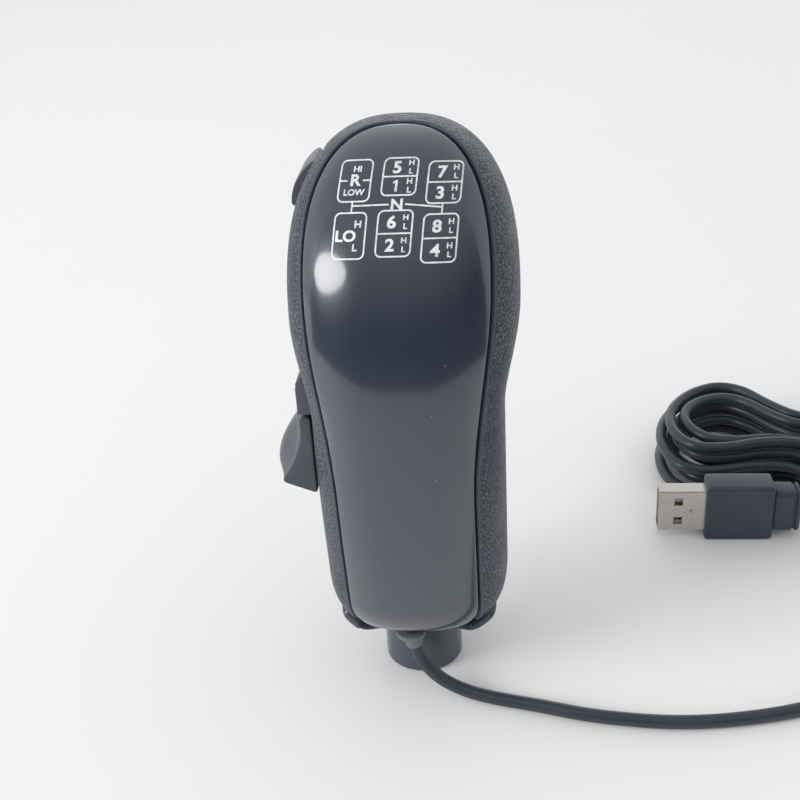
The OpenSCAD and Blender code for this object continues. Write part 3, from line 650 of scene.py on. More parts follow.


# %% [markdown]
# ## Grip shell
# The real shell is moulded plastic with a leather grain, blue-black and soft in the light. Its
# outline leaves room for the plate, the lever's slot, the splitter's slot and two screw holes.
# The grain is a Voronoi pattern of small cells whose borders sink in, bent by noise so that no two
# cells look alike, with a finer crackle inside the cells. The sunk borders are also painted darker,
# which is painted shade in the creases. It fades out at the rims.

# %% Leather grain
shell_grain, tree, shader = new_finish("shell_grain", (0.06, 0.068, 0.086), 0.42)
where = object_coords(tree)
bend = noise(tree, where, 420, 2).outputs["Color"]
push = add_node(tree, "ShaderNodeVectorMath", bend, operation="SCALE", Scale=0.0008)
shifted = add_node(tree, "ShaderNodeVectorMath", where, push)
creases = cells(tree, shifted, 1050, "DISTANCE_TO_EDGE")
depth = tree.nodes.new("ShaderNodeAttribute")
depth.attribute_name = "grain_depth"
sunk = map_range(tree, creases, 0.0, 0.18, -0.6, 0.4)
grain_height_and_crease_shade = calc(tree, "MULTIPLY_ADD", sunk, depth.outputs["Fac"], 0.6)
crackle = noise(tree, where, 2600, 3)
bump(tree, shader, calc(tree, "MULTIPLY_ADD", crackle, 0.18, grain_height_and_crease_shade), 1.0, 0.0004)
# The crease colour is painted shade: where the grain sinks, the base colour darkens from the cell tops'
# blue-grey to near black.
feed(
    shader,
    Base_Color=mix_color(tree, grain_height_and_crease_shade, (0.008, 0.011, 0.018), (0.062, 0.078, 0.115)),
    Roughness=map_range(tree, noise(tree, where, 60, 4), 0.3, 0.7, 0.35, 0.47),
)
print("leather nodes:", len(tree.nodes))

# %% Grip shell mesh
ROLL, RIM = 0.35, 0.5
SPLIT_AT, SPLIT_TILT = np.array([-11.7359, 15.0, 105.9937]), math.radians(35)
LEVER_AT = np.array([-19.4, 0.0, 70.2])
LEVER_SLOT_Z, LEVER_SLOT, SPLIT_SLOT = 69.7, (7.8, 6.0), (5.1, 7.4)
BACK_SCREW_Z, BACK_HOLE_R = (34.0, 73.0), 2.4
NOWHERE = 99


def box_gap(a, b, half_a, half_b):
    """Distance to a flat rectangle, below 0 inside it."""
    da, db = np.abs(a) - half_a, np.abs(b) - half_b
    return np.hypot(np.maximum(da, 0), np.maximum(db, 0)) + np.minimum(np.maximum(da, db), 0)


def shell_field(points):
    """Above 0 where the grip shell is."""
    x, y, z = points.T
    keep = np.minimum(-plate_field(points, PLATE_GAP + ROLL), z - SEAM_Z - ROLL)
    dx, dz = x - SPLIT_AT[0], z - SPLIT_AT[2]
    across = dx * math.cos(SPLIT_TILT) - dz * math.sin(SPLIT_TILT)
    upward = dx * math.sin(SPLIT_TILT) + dz * math.cos(SPLIT_TILT)
    openings = [
        (x < 0, box_gap(y, z - LEVER_SLOT_Z, *LEVER_SLOT)),
        (across < -3, box_gap(y - SPLIT_AT[1], upward, *SPLIT_SLOT)),
    ]
    openings += [(y > 0, np.hypot(x, z - at) - BACK_HOLE_R) for at in BACK_SCREW_Z]
    for there, gap in openings:
        keep = np.minimum(keep, np.where(there, gap, NOWHERE) - ROLL)
    return keep


grip_mesh = rolled_shell(*clip_net(*body_net, shell_field), ROLL)
grip_points = np.array([v.co for v in grip_mesh.vertices]) / MM
grain_depth = grip_mesh.attributes.new("grain_depth", "FLOAT", "POINT")
grain_depth.data.foreach_set("value", np.clip(shell_field(grip_points) / RIM, 0, 1).astype(np.float32))
grip_skin = place("grip_skin", grip_mesh, shell_grain)
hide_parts("grip_shell")
print("grip shell faces:", len(grip_skin.data.polygons))

# %% [markdown]
# ## Face plate
# The plate is piano-black plastic: a deep colour under a clear hard gloss. Such a finish lives on
# clean reflections, so the mesh is fine and the only texture is a little haze and a few dust specks.

# %% Face plate
PLATE_ROLL = 0.3
PLATE_BLUE = (0.021, 0.029, 0.05)
plate_gloss, tree, shader = new_finish(
    "plate_gloss", PLATE_BLUE, 0.3, IOR=1.5, Coat_Weight=1.0, Coat_IOR=1.55, Coat_Roughness=0.11
)
where = object_coords(tree)
dust = map_range(tree, cells(tree, where, 160), 0.018, 0.03, 1, 0)
feed(
    shader,
    Base_Color=mix_color(tree, dust, PLATE_BLUE, (0.16, 0.16, 0.17)),
    Roughness=map_range(tree, noise(tree, where, 45, 4), 0.35, 0.75, 0.25, 0.36),
)
plate_net = clip_net(*body_net, lambda p: plate_field(p, -PLATE_ROLL))
plate_skin = place("plate_skin", rolled_shell(*plate_net, PLATE_ROLL), plate_gloss)
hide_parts("face_plate")
print("face plate faces:", len(plate_skin.data.polygons))

# %% [markdown]
# ## Gate print
# The diagram of the gears is printed on the plate. It is drawn flat first, as outlines, numbers and
# letters in a plane that faces the driver, and then laid on the plate along that plane's own
# direction, so it bends with the crown as a pad-printed film does.

# %% Laying the print on the plate
SIGHT = np.array([0.943, -0.332])
LIFT_WAY = np.array([0, -0.75, 0.66])


def on_plate(x, h, lift):
    """Points of the body's front that the print plane's points reach, in millimetres."""
    low, high = np.full(len(x), 80.0), np.full(len(x), TOTAL_H - 0.05)

    def front_at(z):
        share = np.clip(np.abs(x) / np.maximum(half_width(z), 1e-6), 0, 1) ** (1 / PLAN_POWER)
        near, far = front_y(z), back_y(z)
        bulge = np.sqrt(np.maximum(1 - share ** 2, 0)) ** PLAN_POWER
        return (near + far) / 2 - (far - near) / 2 * bulge

    for _ in range(40):
        z = (low + high) / 2
        above = -SIGHT[1] * front_at(z) + SIGHT[0] * z > h
        low, high = np.where(above, low, z), np.where(above, z, high)
    return np.stack([x, front_at(z), z], 1) + lift * LIFT_WAY


# %% Lines of the print
def band(points, width, closed=False):
    """A flat line of a width along a path, cut into short pieces."""
    path = [np.array(p, float) for p in points]
    if closed:
        path.append(path[0])
    fine = [path[0]]
    for a, b in zip(path, path[1:]):
        n = max(1, math.ceil(np.linalg.norm(b - a) / 0.5))
        fine += [blend(a, b, k / n) for k in range(1, n + 1)]
    fine = np.array(fine)
    way = np.gradient(fine, axis=0)
    if closed:
        way[0] = way[-1] = fine[1] - fine[-2]
    side = left_of(way) * width / 2
    n = len(fine)
    return np.vstack([fine + side, fine - side]), [(k, n + k, n + k + 1, k + 1) for k in range(n - 1)]


def frame_path(x0, x1, h0, h1, r):
    """A rectangle with round corners, as a path."""
    path = []
    centres = ((x1 - r, h1 - r), (x0 + r, h1 - r), (x0 + r, h0 + r), (x1 - r, h0 + r))
    for (cx, ch), start in zip(centres, (0, 90, 180, 270)):
        for k in range(6):
            turn = math.radians(start + 18 * k)
            path.append((cx + r * math.cos(turn), ch + r * math.sin(turn)))
    return path


# %% Letters of the print
CAP_SHARE, BOLDER, WIDER, LONGEST = 0.69, 0.05, 1.12, 0.7


def letters(text, x, h, height):
    """Bold, slightly wide letters round a point, as flat triangles small enough to bend."""
    curve = bpy.data.curves.new("letters", "FONT")
    curve.body = text
    curve.size = height / CAP_SHARE
    curve.offset = BOLDER * height
    curve.align_x = "CENTER"
    curve.resolution_u = 4
    holder = in_scene("letters", curve)
    bpy.context.view_layer.update()
    flat = bpy.data.meshes.new_from_object(holder)
    bpy.data.objects.remove(holder)
    bpy.data.curves.remove(curve)
    work = bmesh.new()
    work.from_mesh(flat)
    bpy.data.meshes.remove(flat)
    bmesh.ops.triangulate(work, faces=work.faces[:])
    for _ in range(3):
        long_edges = [e for e in work.edges if e.calc_length() > LONGEST]
        bmesh.ops.subdivide_edges(work, edges=long_edges, cuts=1)
        bmesh.ops.triangulate(work, faces=work.faces[:])
    work.verts.index_update()
    verts = np.array([v.co[:2] for v in work.verts])
    faces = [tuple(v.index for v in f.verts) for f in work.faces]
    work.free()
    return verts * [WIDER, 1] + [x, h - height / 2], faces


def digit(name, x, h, height):
    """A digit. The font's own 1 is a bare bar, so that one gets a flag."""
    if name != "1":
        return [letters(name, x, h, height)]
    top = h + height / 2
    bar = [(x + 0.15, top), (x + 0.15, h - height / 2)]
    flag = [(x - 0.5, top - 0.55), (x + 0.15, top - 0.12)]
    return [band(bar, 0.42), band(flag, 0.34)]


# %% Gate print
COLUMNS, WIDTHS = (-7.65, 0.7, 9.07), (6.0, 6.35, 6.25)
UPPER = ((103.9, 111.6), (104.85, 111.75), (103.2, 110.9))
LOWER = ((93.55, 101.85), (93.85, 102.1), (92.6, 101.25))
CROSS, LEAN = 103.2, 0.087
LINE, INK = 0.3, 0.06
pieces = []
for x, width, upper, lower, names in zip(COLUMNS, WIDTHS, UPPER, LOWER, ("", "5162", "7384")):
    left, right = x - width / 2, x + width / 2
    for i, (h0, h1) in enumerate((upper, lower)):
        pieces.append(band(frame_path(left, right, h0, h1, 1.0), LINE, True))
        middle = (h0 + h1) / 2
        if names:
            pieces.append(band([(left, middle), (right, middle)], LINE))
        for name, side in zip(names[2 * i:2 * i + 2], (1, -1)):
            level = middle + side * (h1 - h0) / 4
            pieces += digit(name, x - 0.65, level, 2.1)
            pieces.append(letters("H", x + 1.9, level + 0.8, 0.95))
            pieces.append(letters("L", x + 1.9, level - 0.8, 0.95))
gear_r, neutral, gear_7 = COLUMNS
r_mid, lo_mid = sum(UPPER[0]) / 2, sum(LOWER[0]) / 2
labels = [
    ("HI", gear_r + 0.2, r_mid + 2.15, 1.05), ("R", gear_r, r_mid + 0.1, 2.0),
    ("LOW", gear_r, r_mid - 2.15, 1.05), ("LO", gear_r - 0.7, lo_mid, 1.9),
    ("H", gear_r + 1.5, lo_mid + 2.1, 1.2), ("L", gear_r + 1.2, lo_mid - 2.1, 1.2),
    ("N", neutral, CROSS, 1.9),
]
lines = [((gear_r + side * WIDTHS[0] / 2, r_mid), (gear_r + side * 1.5, r_mid)) for side in (-1, 1)]
lines += [((COLUMNS[i], LOWER[i][1]), (COLUMNS[i], UPPER[i][0])) for i in (0, 2)]
lines.append(((gear_r, CROSS - 0.1), (neutral - 1.5, CROSS)))
lines.append(((neutral + 1.5, CROSS), (gear_7, CROSS - 0.7)))
pieces += [letters(*label) for label in labels] + [band(ends, LINE) for ends in lines]
flat_verts, flat_faces = merged(pieces)
for i, face in enumerate(flat_faces):
    x, h = flat_verts[list(face)].T
    if np.sum(x * np.roll(h, -1) - h * np.roll(x, -1)) <= 0:
        flat_faces[i] = face[::-1]
flat_x = flat_verts[:, 0] + LEAN * (flat_verts[:, 1] - CROSS)
print_mesh = grid_mesh(on_plate(flat_x, flat_verts[:, 1], INK) * MM, flat_faces)
print_mesh.validate()
print_mesh.shade_smooth()
print_white, tree, shader = new_finish("print_white", (0.78, 0.79, 0.81), 0.35)
wear = map_range(tree, noise(tree, object_coords(tree), 900, 3), 0.35, 0.6, 0, 1)
feed(shader, Base_Color=mix_color(tree, wear, (0.6, 0.61, 0.63), (0.82, 0.83, 0.85)))
gate_print = place("gate_print", print_mesh, print_white)
print("gate print faces:", len(flat_faces))

# %% [markdown]
# ## Cap under the shell
# The cap closes the body from below. It is the same skin again, below the seam, with openings for
# the collar, two screws and the cable's grommet, and a notch in front for the plate's foot. Beside
# the notch it swells into two claws that clasp the plate's lower corners.

# %% Cap
CAP_ROLL, CAP_GAP = 0.4, 0.2
CAP_HOLE_R, CAP_SCREW_X, CAP_SCREW_R = 8.85, 11.05, 2.2
GROMMET_HOLE_R, NOTCH_X, NOTCH_Y = 3.8, 12, -12
CLAW, CLAW_FROM, CLAW_OVER = 1.5, (8, 5), (4, 6)


def cap_field(points):
    """Above 0 where the cap is."""
    x, y, z = points.T
    return np.minimum.reduce([
        SEAM_Z - CAP_GAP - z - CAP_ROLL,
        -plate_field(points, PLATE_GAP + CAP_ROLL),
        np.hypot(x, y) - CAP_HOLE_R - CAP_ROLL,
        np.hypot(np.abs(x) - CAP_SCREW_X, y) - CAP_SCREW_R - CAP_ROLL,
        np.hypot(x + 0.5, y - GROMMET_AT[1]) - GROMMET_HOLE_R - CAP_ROLL,
        np.maximum(np.abs(x) - NOTCH_X, y - NOTCH_Y) - CAP_ROLL,
    ])


cap_points, cap_tris = clip_net(*body_net, cap_field)
towards = np.stack([np.abs(cap_points[:, 0]), -cap_points[:, 1]], 1)
claw = ease((towards - CLAW_FROM) / CLAW_OVER).prod(1)
cap_points = cap_points + CLAW * claw[:, None] * net_normals(cap_points, cap_tris)
smooth_black = moulded_plastic("smooth_black", (0.05, 0.058, 0.075), 0.24)
cap_skin = place("cap_skin", rolled_shell(cap_points, cap_tris, CAP_ROLL), smooth_black)
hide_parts("bottom_cap")
print("cap faces:", len(cap_skin.data.polygons))

# %% [markdown]
# ## Lever and rocker
# Both controls are lofts: an outline is carried sideways, drawn in near the two ends so that the
# edges come out round. The lever's outline also changes on the way, from a hollow front edge to a
# full rear edge. Each control rides on its own body, so the joints carry it.

# %% Loft helper
def fillet(corners, cut, steps=5):
    """A closed outline whose corners are rounded, each by its own cut."""
    out = []
    corners = [np.array(c, float) for c in corners]
    for i, (corner, d) in enumerate(zip(corners, cut)):
        before, after = corners[i - 1], corners[(i + 1) % len(corners)]
        if d == 0:
            out.append(corner)
            continue
        start = corner + unit(before - corner) * d
        stop = corner + unit(after - corner) * d
        for t in np.arange(steps + 1) / steps:
            out.append((1 - t) ** 2 * start + 2 * t * (1 - t) * corner + t * t * stop)
    return np.array(out)


def loft(outline, half, radius, rows=24, steps=4, eye=None):
    """Points and faces of an outline in x and z carried along y, with round ends.

    Each end is a fan of triangles from a point that sees the whole outline: eye, or else the middle.
    """
    levels = [(-half + radius * (1 - math.cos(a)), radius * (1 - math.sin(a)))
              for a in np.linspace(0, math.pi / 2, steps + 1)]
    levels += [(y, 0.0) for y in np.linspace(-half + radius, half - radius, rows)[1:-1]]
    levels += [(-y, inset) for y, inset in levels[steps::-1]]
    rings = []
    for y, inset in levels:
        line = outline(y)
        inner = line + inset * left_of(np.roll(line, -1, axis=0) - np.roll(line, 1, axis=0))
        rings.append(np.stack([inner[:, 0], np.full(len(inner), y), inner[:, 1]], 1))
    n = len(rings[0])
    faces = ring_faces(len(rings), n)
    first, last = len(rings) * n, (len(rings) - 1) * n
    for ring in (rings[0], rings[-1]):
        rings.append(ring.mean(0)[None] if eye is None else np.array([[eye[0], ring[0, 1], eye[1]]]))
    for k in range(n):
        faces += [(first, (k + 1) % n, k), (first + 1, last + k, last + (k + 1) % n)]
    return np.vstack(rings), faces


# %% Hub of a control
HUB_R, HUB_BORE, HUB_EASE = 2.8, 1.25, 0.3


def hub_tube(half, steps=32):
    """A ring along y with a bore, for a control's pivot."""
    ease_in = HUB_R - HUB_EASE
    profile = [(HUB_BORE, -half), (ease_in, -half), (HUB_R, HUB_EASE - half),
               (HUB_R, half - HUB_EASE), (ease_in, half), (HUB_BORE, half)]
    verts = [(r * math.cos(a), y, r * math.sin(a))
             for a in np.arange(steps) * 2 * math.pi / steps for r, y in profile]
    return np.array(verts), ring_faces(steps, len(profile), True)


# %% Range lever
LEVER_HALF, LEVER_STOPS = 7.5, 26


def lever_outline(y):
    full = float(ease((y + LEVER_HALF) / 9.5))
    keep = float(arch(np.array(0.145 * (y - 2)), 2))
    t = np.concatenate([[0.09], np.linspace(0.16, 0.89, LEVER_STOPS), [1]])
    hollow = 0.75 * (np.maximum(0, t - 0.24) / 0.76) ** 1.9
    swell = 1 - (1 - np.maximum(0, t - 0.21) / 0.79) ** 2
    out = 3.2 + 6.9 * keep * blend(hollow, swell, full)
    corners = [(-0.7, -22.1), (-0.7, -3.53), *zip(-out, blend(-2, -19, t))]
    return fillet(corners, [1.2, 0.9, 0.9] + [0] * LEVER_STOPS + [1.5])


control_black = moulded_plastic("control_black", (0.05, 0.057, 0.073), 0.36, 3200, 0.12)
neck_line = fillet([(-0.7, -6), (-0.7, -1.2), (-2.7, -1.2), (-2.7, -6)], [0.5] * 4, 2)
lever_parts = [
    loft(lever_outline, LEVER_HALF, 0.4, 40, eye=(-1.3, -12.5)),
    loft(lambda y: neck_line, 4.6, 0.2, 4, 2),
    hub_tube(4.7),
]
lever_skin = place("lever_skin", joined(lever_parts, at=LEVER_AT), control_black, "range_lever")
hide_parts("range_lever")
print("lever faces:", len(lever_skin.data.polygons))

# %% Splitter rocker
ROCKER_R, ROCKER_HALF, ROCKER_STOPS = 11.0, 4.8, 21
sweep = np.radians(np.concatenate([[30], np.linspace(24, -24, ROCKER_STOPS), [-30]]))
rocker_rim = [(-ROCKER_R * math.cos(a), ROCKER_R * math.sin(a)) for a in sweep]
rocker_cuts = [0.3, 0.3, 0.9] + [0] * ROCKER_STOPS + [0.9]
rocker_line = fillet([(-1.2, -0.6), (-1.2, 0.6)] + rocker_rim, rocker_cuts)
rocker_parts = [loft(lambda y: rocker_line, ROCKER_HALF, 0.35), hub_tube(ROCKER_HALF)]
rocker_mesh = joined(rocker_parts, SPLIT_TILT - math.radians(5), SPLIT_AT)
rocker_skin = place("rocker_skin", rocker_mesh, control_black, "splitter_rocker")
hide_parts("splitter_rocker")
print("rocker faces:", len(rocker_skin.data.polygons))

# %% Lever bracket
EAR = [(3.5, -2.7), (3.5, 5.2), (-2.0, 5.2), (-3.2, 3.4), (-3.2, -2.7)]
BRIDGE = [(3.5, 3.5), (3.5, 5.2), (-2.4, 5.2), (-3.1, 4.4), (-3.1, 3.5)]
WALL_NEAR, WALL_FAR = 3.4, 4.9


def block(corners, y0, y1):
    """A straight loft between two places along y."""
    line = fillet(corners, [0.35] * len(corners), 3)
    verts, faces = loft(lambda y: line, (y1 - y0) / 2, 0.15, 3, 2)
    return verts + [0, (y0 + y1) / 2, 0], faces


def wall(low, high):
    """The outline of the bracket's back wall between two heights."""
    return [(WALL_FAR, low), (WALL_FAR, high), (WALL_NEAR, high), (WALL_NEAR, low)]


bracket_parts = [block(*part) for part in (
    (EAR, -7.62, -5.0), (EAR, 5.0, 7.62), (BRIDGE, -7.5, 7.5),
    (wall(-12, 10), -7.5, -2.2), (wall(-12, 10), 2.2, 7.5),
    (wall(-12, -4), -2.3, 2.3), (wall(2.5, 10), -2.3, 2.3),
)]
bracket_skin = place("bracket_skin", joined(bracket_parts, at=LEVER_AT), control_black)
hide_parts("range_cradle")
print("bracket faces:", len(bracket_skin.data.polygons))

# %% [markdown]
# ## Plug, boot and strap
# A USB plug is a bent sheet-metal tube in an overmoulded block, with a slimmer boot behind it. Block
# and boot are rows of rounded rectangles joined along the plug's axis, where a smaller row makes a
# groove or an eased end. The metal tube keeps its solid, and its finish adds the small round dent.

# %% Plug and boot
BLOCK_X, BOOT_X = 70.8, 87.8


def rounded_row(x, half_y, half_z, r):
    """A rounded rectangle across the plug's axis."""
    path = frame_path(-half_y, half_y, -half_z, half_z, r)
    return np.array([(x, y, z) for y, z in path]) + PLUG_AXIS


def grooved(x0, x1, half_y, half_z, r, grooves=(), deep=0.5):
    """A block with eased ends and some grooves."""
    stops = [(x0, 0.55), (x0 + 0.2, 0.2), (x0 + 0.6, 0.0)]
    for g in grooves:
        stops += [(g - 0.45, 0.0), (g - 0.3, deep), (g + 0.3, deep), (g + 0.45, 0.0)]
    stops += [(x1 - 0.6, 0.0), (x1 - 0.2, 0.2), (x1, 0.55)]
    return row_solid([rounded_row(x, half_y - d, half_z - d, max(r - d, 0.4)) for x, d in stops])


plug_black = moulded_plastic("plug_black", (0.028, 0.037, 0.055), 0.36, 2200, 0.12)
plug_block = place("plug_block", joined([grooved(BLOCK_X, BOOT_X, 4, 8, 1.0)]), plug_black)
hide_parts("plug_body")
boot_part = grooved(BOOT_X, BOOT_END[0], 3.2, 6, 1.4, (93.2,))
plug_sleeve = place("plug_sleeve", joined([boot_part]), plug_black)
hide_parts("plug_boot")
print("plug faces:", len(plug_block.data.polygons), "boot faces:", len(plug_sleeve.data.polygons))

# %% Plug metal
DENT_AT = (0.0674, 0.04425, 0.0081)
plug_metal, tree, shader = new_finish("plug_metal", (0.56, 0.53, 0.51), 0.3, Metallic=1.0)
brushed = noise(tree, object_coords(tree, (60, 900, 900)), 5, 4)
feed(shader, Roughness=map_range(tree, brushed, 0.3, 0.7, 0.22, 0.4))
dent = add_node(tree, "ShaderNodeVectorMath", object_coords(tree), DENT_AT, operation="DISTANCE")
bump(tree, shader, map_range(tree, dent.outputs["Value"], 0.0003, 0.0006, 0, 1), 0.9, 0.0004)
print("plug metal nodes:", len(tree.nodes))

# %% Strap round the hank
TIE_AT, TIE_HALF, TIE_TOP, TIE_W, TIE_T = 7.0, 17.85, 16.2, 4.8, 0.9


def strap(path, closed):
    """A flat strap along a path in the plane across the hank."""
    n = len(path)
    half_edge = [(1, 0.2), (0.93, 0.5), (-0.93, 0.5), (-1, 0.2)]
    edge = half_edge + [(-a, -b) for a, b in half_edge]
    rows = []
    for i, (q, z) in enumerate(path):
        if closed:
            before, after = path[i - 1], path[(i + 1) % n]
        else:
            before, after = path[max(i - 1, 0)], path[min(i + 1, n - 1)]
        way = unit(np.array(after) - np.array(before)) * TIE_T
        rows.append([on_hank(TIE_AT + a * TIE_W / 2, q - way[1] * b, z + way[0] * b) for a, b in edge])
    if closed:
        return np.vstack(rows), ring_faces(n, len(edge), True)
    return row_solid(rows)


tie_black, tree, shader = new_finish("tie_black", (0.014, 0.014, 0.016), 0.85, Sheen_Weight=0.4)
weave = cells(tree, object_coords(tree), 2400)
bump(tree, shader, weave, 0.7, 0.0003)
feed(shader, Base_Color=mix_color(tree, weave, (0.022, 0.022, 0.025), (0.008, 0.008, 0.009)))
loop = frame_path(-TIE_HALF, TIE_HALF, 0.5, TIE_TOP, 4.0)
tab = [(q, TIE_TOP + TIE_T) for q in np.linspace(-9, 11, 9)]
tie_strap = place("tie_strap", joined([strap(loop, True), strap(tab, False)]), tie_black)
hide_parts("cable_tie")
print("strap faces:", len(tie_strap.data.polygons))

# %% [markdown]
# ## Grommet
# A rubber grommet holds the cable under the front: a flat flange with a soft rim, and a short tapered
# sleeve that leans with the cable. Each is a row of rings along a straight line.

# %% Grommet
FLANGE = [(0.0, 2.6), (0.08, 2.95), (0.3, 3.2), (0.9, 3.2), (1.12, 3.0), (1.2, 2.7)]
SLEEVE = [(0.2, 2.2), (1.6, 2.1), (2.9, 1.92), (3.3, 1.85), (EXIT_LEN, 1.6)]


def ring_solid(stops, along, at, steps=40):
    """A round solid from (distance, radius) stops along a direction."""
    side = unit(np.cross(along, [0.0, 1.0, 0.0]))
    up = np.cross(along, side)
    turns = np.arange(steps) * 2 * math.pi / steps
    circle = np.cos(turns)[:, None] * side + np.sin(turns)[:, None] * up
    return row_solid([at + d * along + r * circle for d, r in stops])


grommet_rubber = moulded_plastic("grommet_rubber", (0.12, 0.127, 0.14), 0.5, 1800, 0.2)
seal_parts = [
    ring_solid(FLANGE, np.array([0.0, 0.0, 1.0]), GROMMET_AT), ring_solid(SLEEVE, EXIT_DIR, SLEEVE_AT)
]
cable_seal = place("cable_seal", joined(seal_parts), grommet_rubber)
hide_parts("cable_grommet")
print("grommet faces:", len(cable_seal.data.polygons))

# %% [markdown]
# ## Screws and thread with Geometry Nodes
# Two screws hold the plate from behind and two hold the cap from below. One node tree makes a
# cross-head screw from primitives and puts it on every point of a small mesh, turned along a stored
# axis. A second tree sweeps a ridge along a spiral, which is the thread inside the collar.

# %% Node tree helpers
def new_tree(name, *labels):
    """A geometry tree with named float inputs, with its first node's outputs and its last node."""
    group = bpy.data.node_groups.new(name, "GeometryNodeTree")
    for side in ("INPUT", "OUTPUT"):
        group.interface.new_socket("Geometry", in_out=side, socket_type="NodeSocketGeometry")
    for label in labels:
        group.interface.new_socket(label, in_out="INPUT", socket_type="NodeSocketFloat")
    return group, group.nodes.new("NodeGroupInput").outputs, group.nodes.new("NodeGroupOutput")


def raised(group, geometry, size, share):
    """Geometry moved up by a share of a size."""
    up = add_node(group, "ShaderNodeCombineXYZ", Z=calc(group, "MULTIPLY", size, share))
    return add_node(group, "GeometryNodeTransform", Geometry=geometry, Translation=up)


def baked(mesh, group, **sizes):
    """A plain mesh of what a tree makes of a mesh, with the tree's inputs set by name."""
    holder = in_scene("holder", mesh)
    modifier = holder.modifiers.new("nodes", "NODES")
    modifier.node_group = group
    for item in group.interface.items_tree:
        label = item.name.replace(" ", "_")
        if label in sizes:
            modifier[item.identifier] = sizes[label]
    bpy.context.view_layer.update()
    solid = bpy.data.meshes.new_from_object(holder.evaluated_get(bpy.context.evaluated_depsgraph_get()))
    bpy.data.objects.remove(holder)
    return solid


# %% Screw tree
tree, given, screw_out = new_tree("screws", "Head radius", "Head height", "Shank radius", "Shank length")
head, shank = (
    add_node(tree, "GeometryNodeMeshCylinder", Vertices=sides, Radius=given[radius], Depth=given[length])
    for sides, radius, length in (
        (40, "Head radius", "Head height"), (24, "Shank radius", "Shank length"),
    )
)
head_set = raised(tree, head, given["Head height"], 0.5)
shank_set = raised(tree, shank, given["Shank length"], -0.5)
recess = add_node(tree, "GeometryNodeMeshBoolean", operation="DIFFERENCE", Mesh_1=head_set)
cut_long, cut_wide = (calc(tree, "MULTIPLY", given["Head radius"], share) for share in (1.25, 0.3))
for x, y in ((cut_long, cut_wide), (cut_wide, cut_long)):
    box_size = add_node(tree, "ShaderNodeCombineXYZ", x, y, given["Head height"])
    slot_box = add_node(tree, "GeometryNodeMeshCube", Size=box_size)
    feed(recess, Mesh_2=raised(tree, slot_box, given["Head height"], 0.95))
screw = add_node(tree, "GeometryNodeJoinGeometry", recess)
feed(screw, shank_set)
stored_axis = tree.nodes.new("GeometryNodeInputNamedAttribute")
stored_axis.data_type = "FLOAT_VECTOR"
feed(stored_axis, Name="axis")
turned = add_node(tree, "FunctionNodeAlignRotationToVector", Vector=stored_axis.outputs["Attribute"])
turned.axis = "Z"
on_points = add_node(
    tree, "GeometryNodeInstanceOnPoints", Points=given["Geometry"], Instance=screw, Rotation=turned
)
feed(screw_out, add_node(tree, "GeometryNodeRealizeInstances", on_points))
screw_tree = tree
print("screw nodes:", len(tree.nodes))

# %% Screws
HEAD_R, SHANK_R = 0.0021, 0.0012


def screw_mesh(places, direction, head, shank):
    """Screws at places in millimetres, with their heads towards a direction."""
    mesh = grid_mesh(np.array(places, float) * MM, [])
    for item in mesh.attributes.new("axis", "FLOAT_VECTOR", "POINT").data:
        item.vector = direction
    return baked(
        mesh, screw_tree, Head_radius=HEAD_R, Head_height=head, Shank_radius=SHANK_R, Shank_length=shank
    )


steel = bare_metal("steel", (0.5, 0.5, 0.51), 0.34)
back_places = [(0, 5, z) for z in BACK_SCREW_Z]
plate_screws = place("plate_screws", screw_mesh(back_places, (0, 1, 0), 0.0018, 0.015), steel)
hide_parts("face_screws")
foot_places = [(side * CAP_SCREW_X, 0, 16) for side in (-1, 1)]
foot_screws = place("foot_screws", screw_mesh(foot_places, (0, 0, -1), 0.0016, 0.0043), steel)
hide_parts("cap_screws")
print("screws:", len(plate_screws.data.polygons), len(foot_screws.data.polygons), "faces")

# %% Thread in the collar
THREAD_LOW = 0.0009
tree, given, thread_out = new_tree("thread", "Turns", "Radius", "Length", "Ridge")
spiral = add_node(
    tree, "GeometryNodeCurveSpiral", Resolution=48, Rotations=given["Turns"], Height=given["Length"],
    Start_Radius=given["Radius"], End_Radius=given["Radius"],
)
ridge = add_node(tree, "GeometryNodeCurvePrimitiveCircle", Resolution=6, Radius=given["Ridge"])
swept = add_node(tree, "GeometryNodeCurveToMesh", Curve=spiral, Profile_Curve=ridge, Fill_Caps=True)
feed(thread_out, swept)
seed = grid_mesh([(0, 0, 0)], [])
thread_mesh = baked(seed, tree, Turns=14.0, Radius=0.0051, Length=0.0222, Ridge=0.0004)
thread_mesh.transform(Matrix.Translation((0, 0, THREAD_LOW)))
thread_mesh.shade_smooth()
socket_thread = place("socket_thread", thread_mesh, steel)
print("thread faces:", len(thread_mesh.polygons))

# %% [markdown]
# ## Finishes of the solids
# Pins, springs, switches, board and wires keep the shapes they came with, because these are right.
# Most of them sit inside the shell, and each still gets a finish of its own. A solid that a new piece
# is shown for gets that piece's finish.

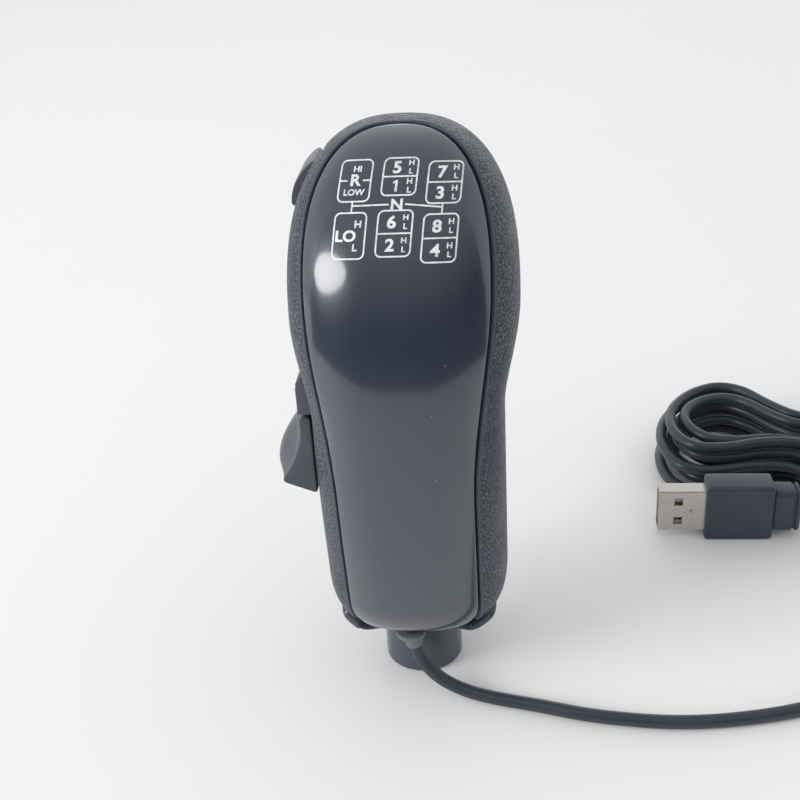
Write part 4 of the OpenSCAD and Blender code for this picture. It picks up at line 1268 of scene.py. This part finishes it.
# %% Circuit board
board_green, tree, shader = new_finish("board_green", (0.012, 0.09, 0.04), 0.35)
traces = add_node(tree, "ShaderNodeTexBrick", Vector=object_coords(tree), Scale=260, Mortar_Size=0.03)
copper = traces.outputs["Fac"]
feed(shader, Base_Color=mix_color(tree, copper, (0.01, 0.075, 0.034), (0.03, 0.15, 0.07)))
bump(tree, shader, copper, 0.3, 0.0001)
print("board nodes:", len(tree.nodes))

# %% Finish of each solid
switch_body = moulded_plastic("switch_body", (0.02, 0.02, 0.022), 0.45)
switch_button = moulded_plastic("switch_button", (0.35, 0.05, 0.03), 0.4)
header_white = moulded_plastic("header_white", (0.62, 0.61, 0.56), 0.45)
wire_red = moulded_plastic("wire_red", (0.4, 0.025, 0.02), 0.42)
wire_blue = moulded_plastic("wire_blue", (0.02, 0.07, 0.33), 0.42)
contact_gold = bare_metal("contact_gold", (0.75, 0.55, 0.24), 0.28)
solid_finishes = [
    (shell_grain, "grip_shell"), (plate_gloss, "face_plate"),
    (smooth_black, "bottom_cap collar_sleeve"),
    (control_black, "range_lever range_cradle splitter_rocker splitter_cradle"),
    (steel, "threaded_insert range_pin splitter_pin range_spring splitter_spring"),
    (steel, "board_screws face_screws cap_screws"),
    (switch_body, "range_switch splitter_switch controller_chip"),
    (switch_button, "range_plunger splitter_plunger"), (board_green, "controller_board"),
    (header_white, "board_connectors plug_tongue"), (wire_red, "range_wires"),
    (wire_blue, "splitter_wires"), (cable_black, "usb_inner_lead usb_cable cable_hank plug_lead"),
    (grommet_rubber, "cable_grommet"), (tie_black, "cable_tie"), (plug_black, "plug_boot plug_body"),
    (plug_metal, "plug_shell"), (contact_gold, "plug_contacts"),
]
finished = [(name, finish) for finish, names in solid_finishes for name in names.split()]
for name, finish in finished:
    dress(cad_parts[name], finish)
print("finished solids:", len(finished), "of", len(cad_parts))

# %% Pieces that go with the cable
plug_pieces = [tie_strap, plug_block, plug_sleeve]
plug_pieces += [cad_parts[n] for n in ("plug_shell", "plug_tongue", "plug_contacts")]
print("pieces that go with the cable:", len(plug_pieces))
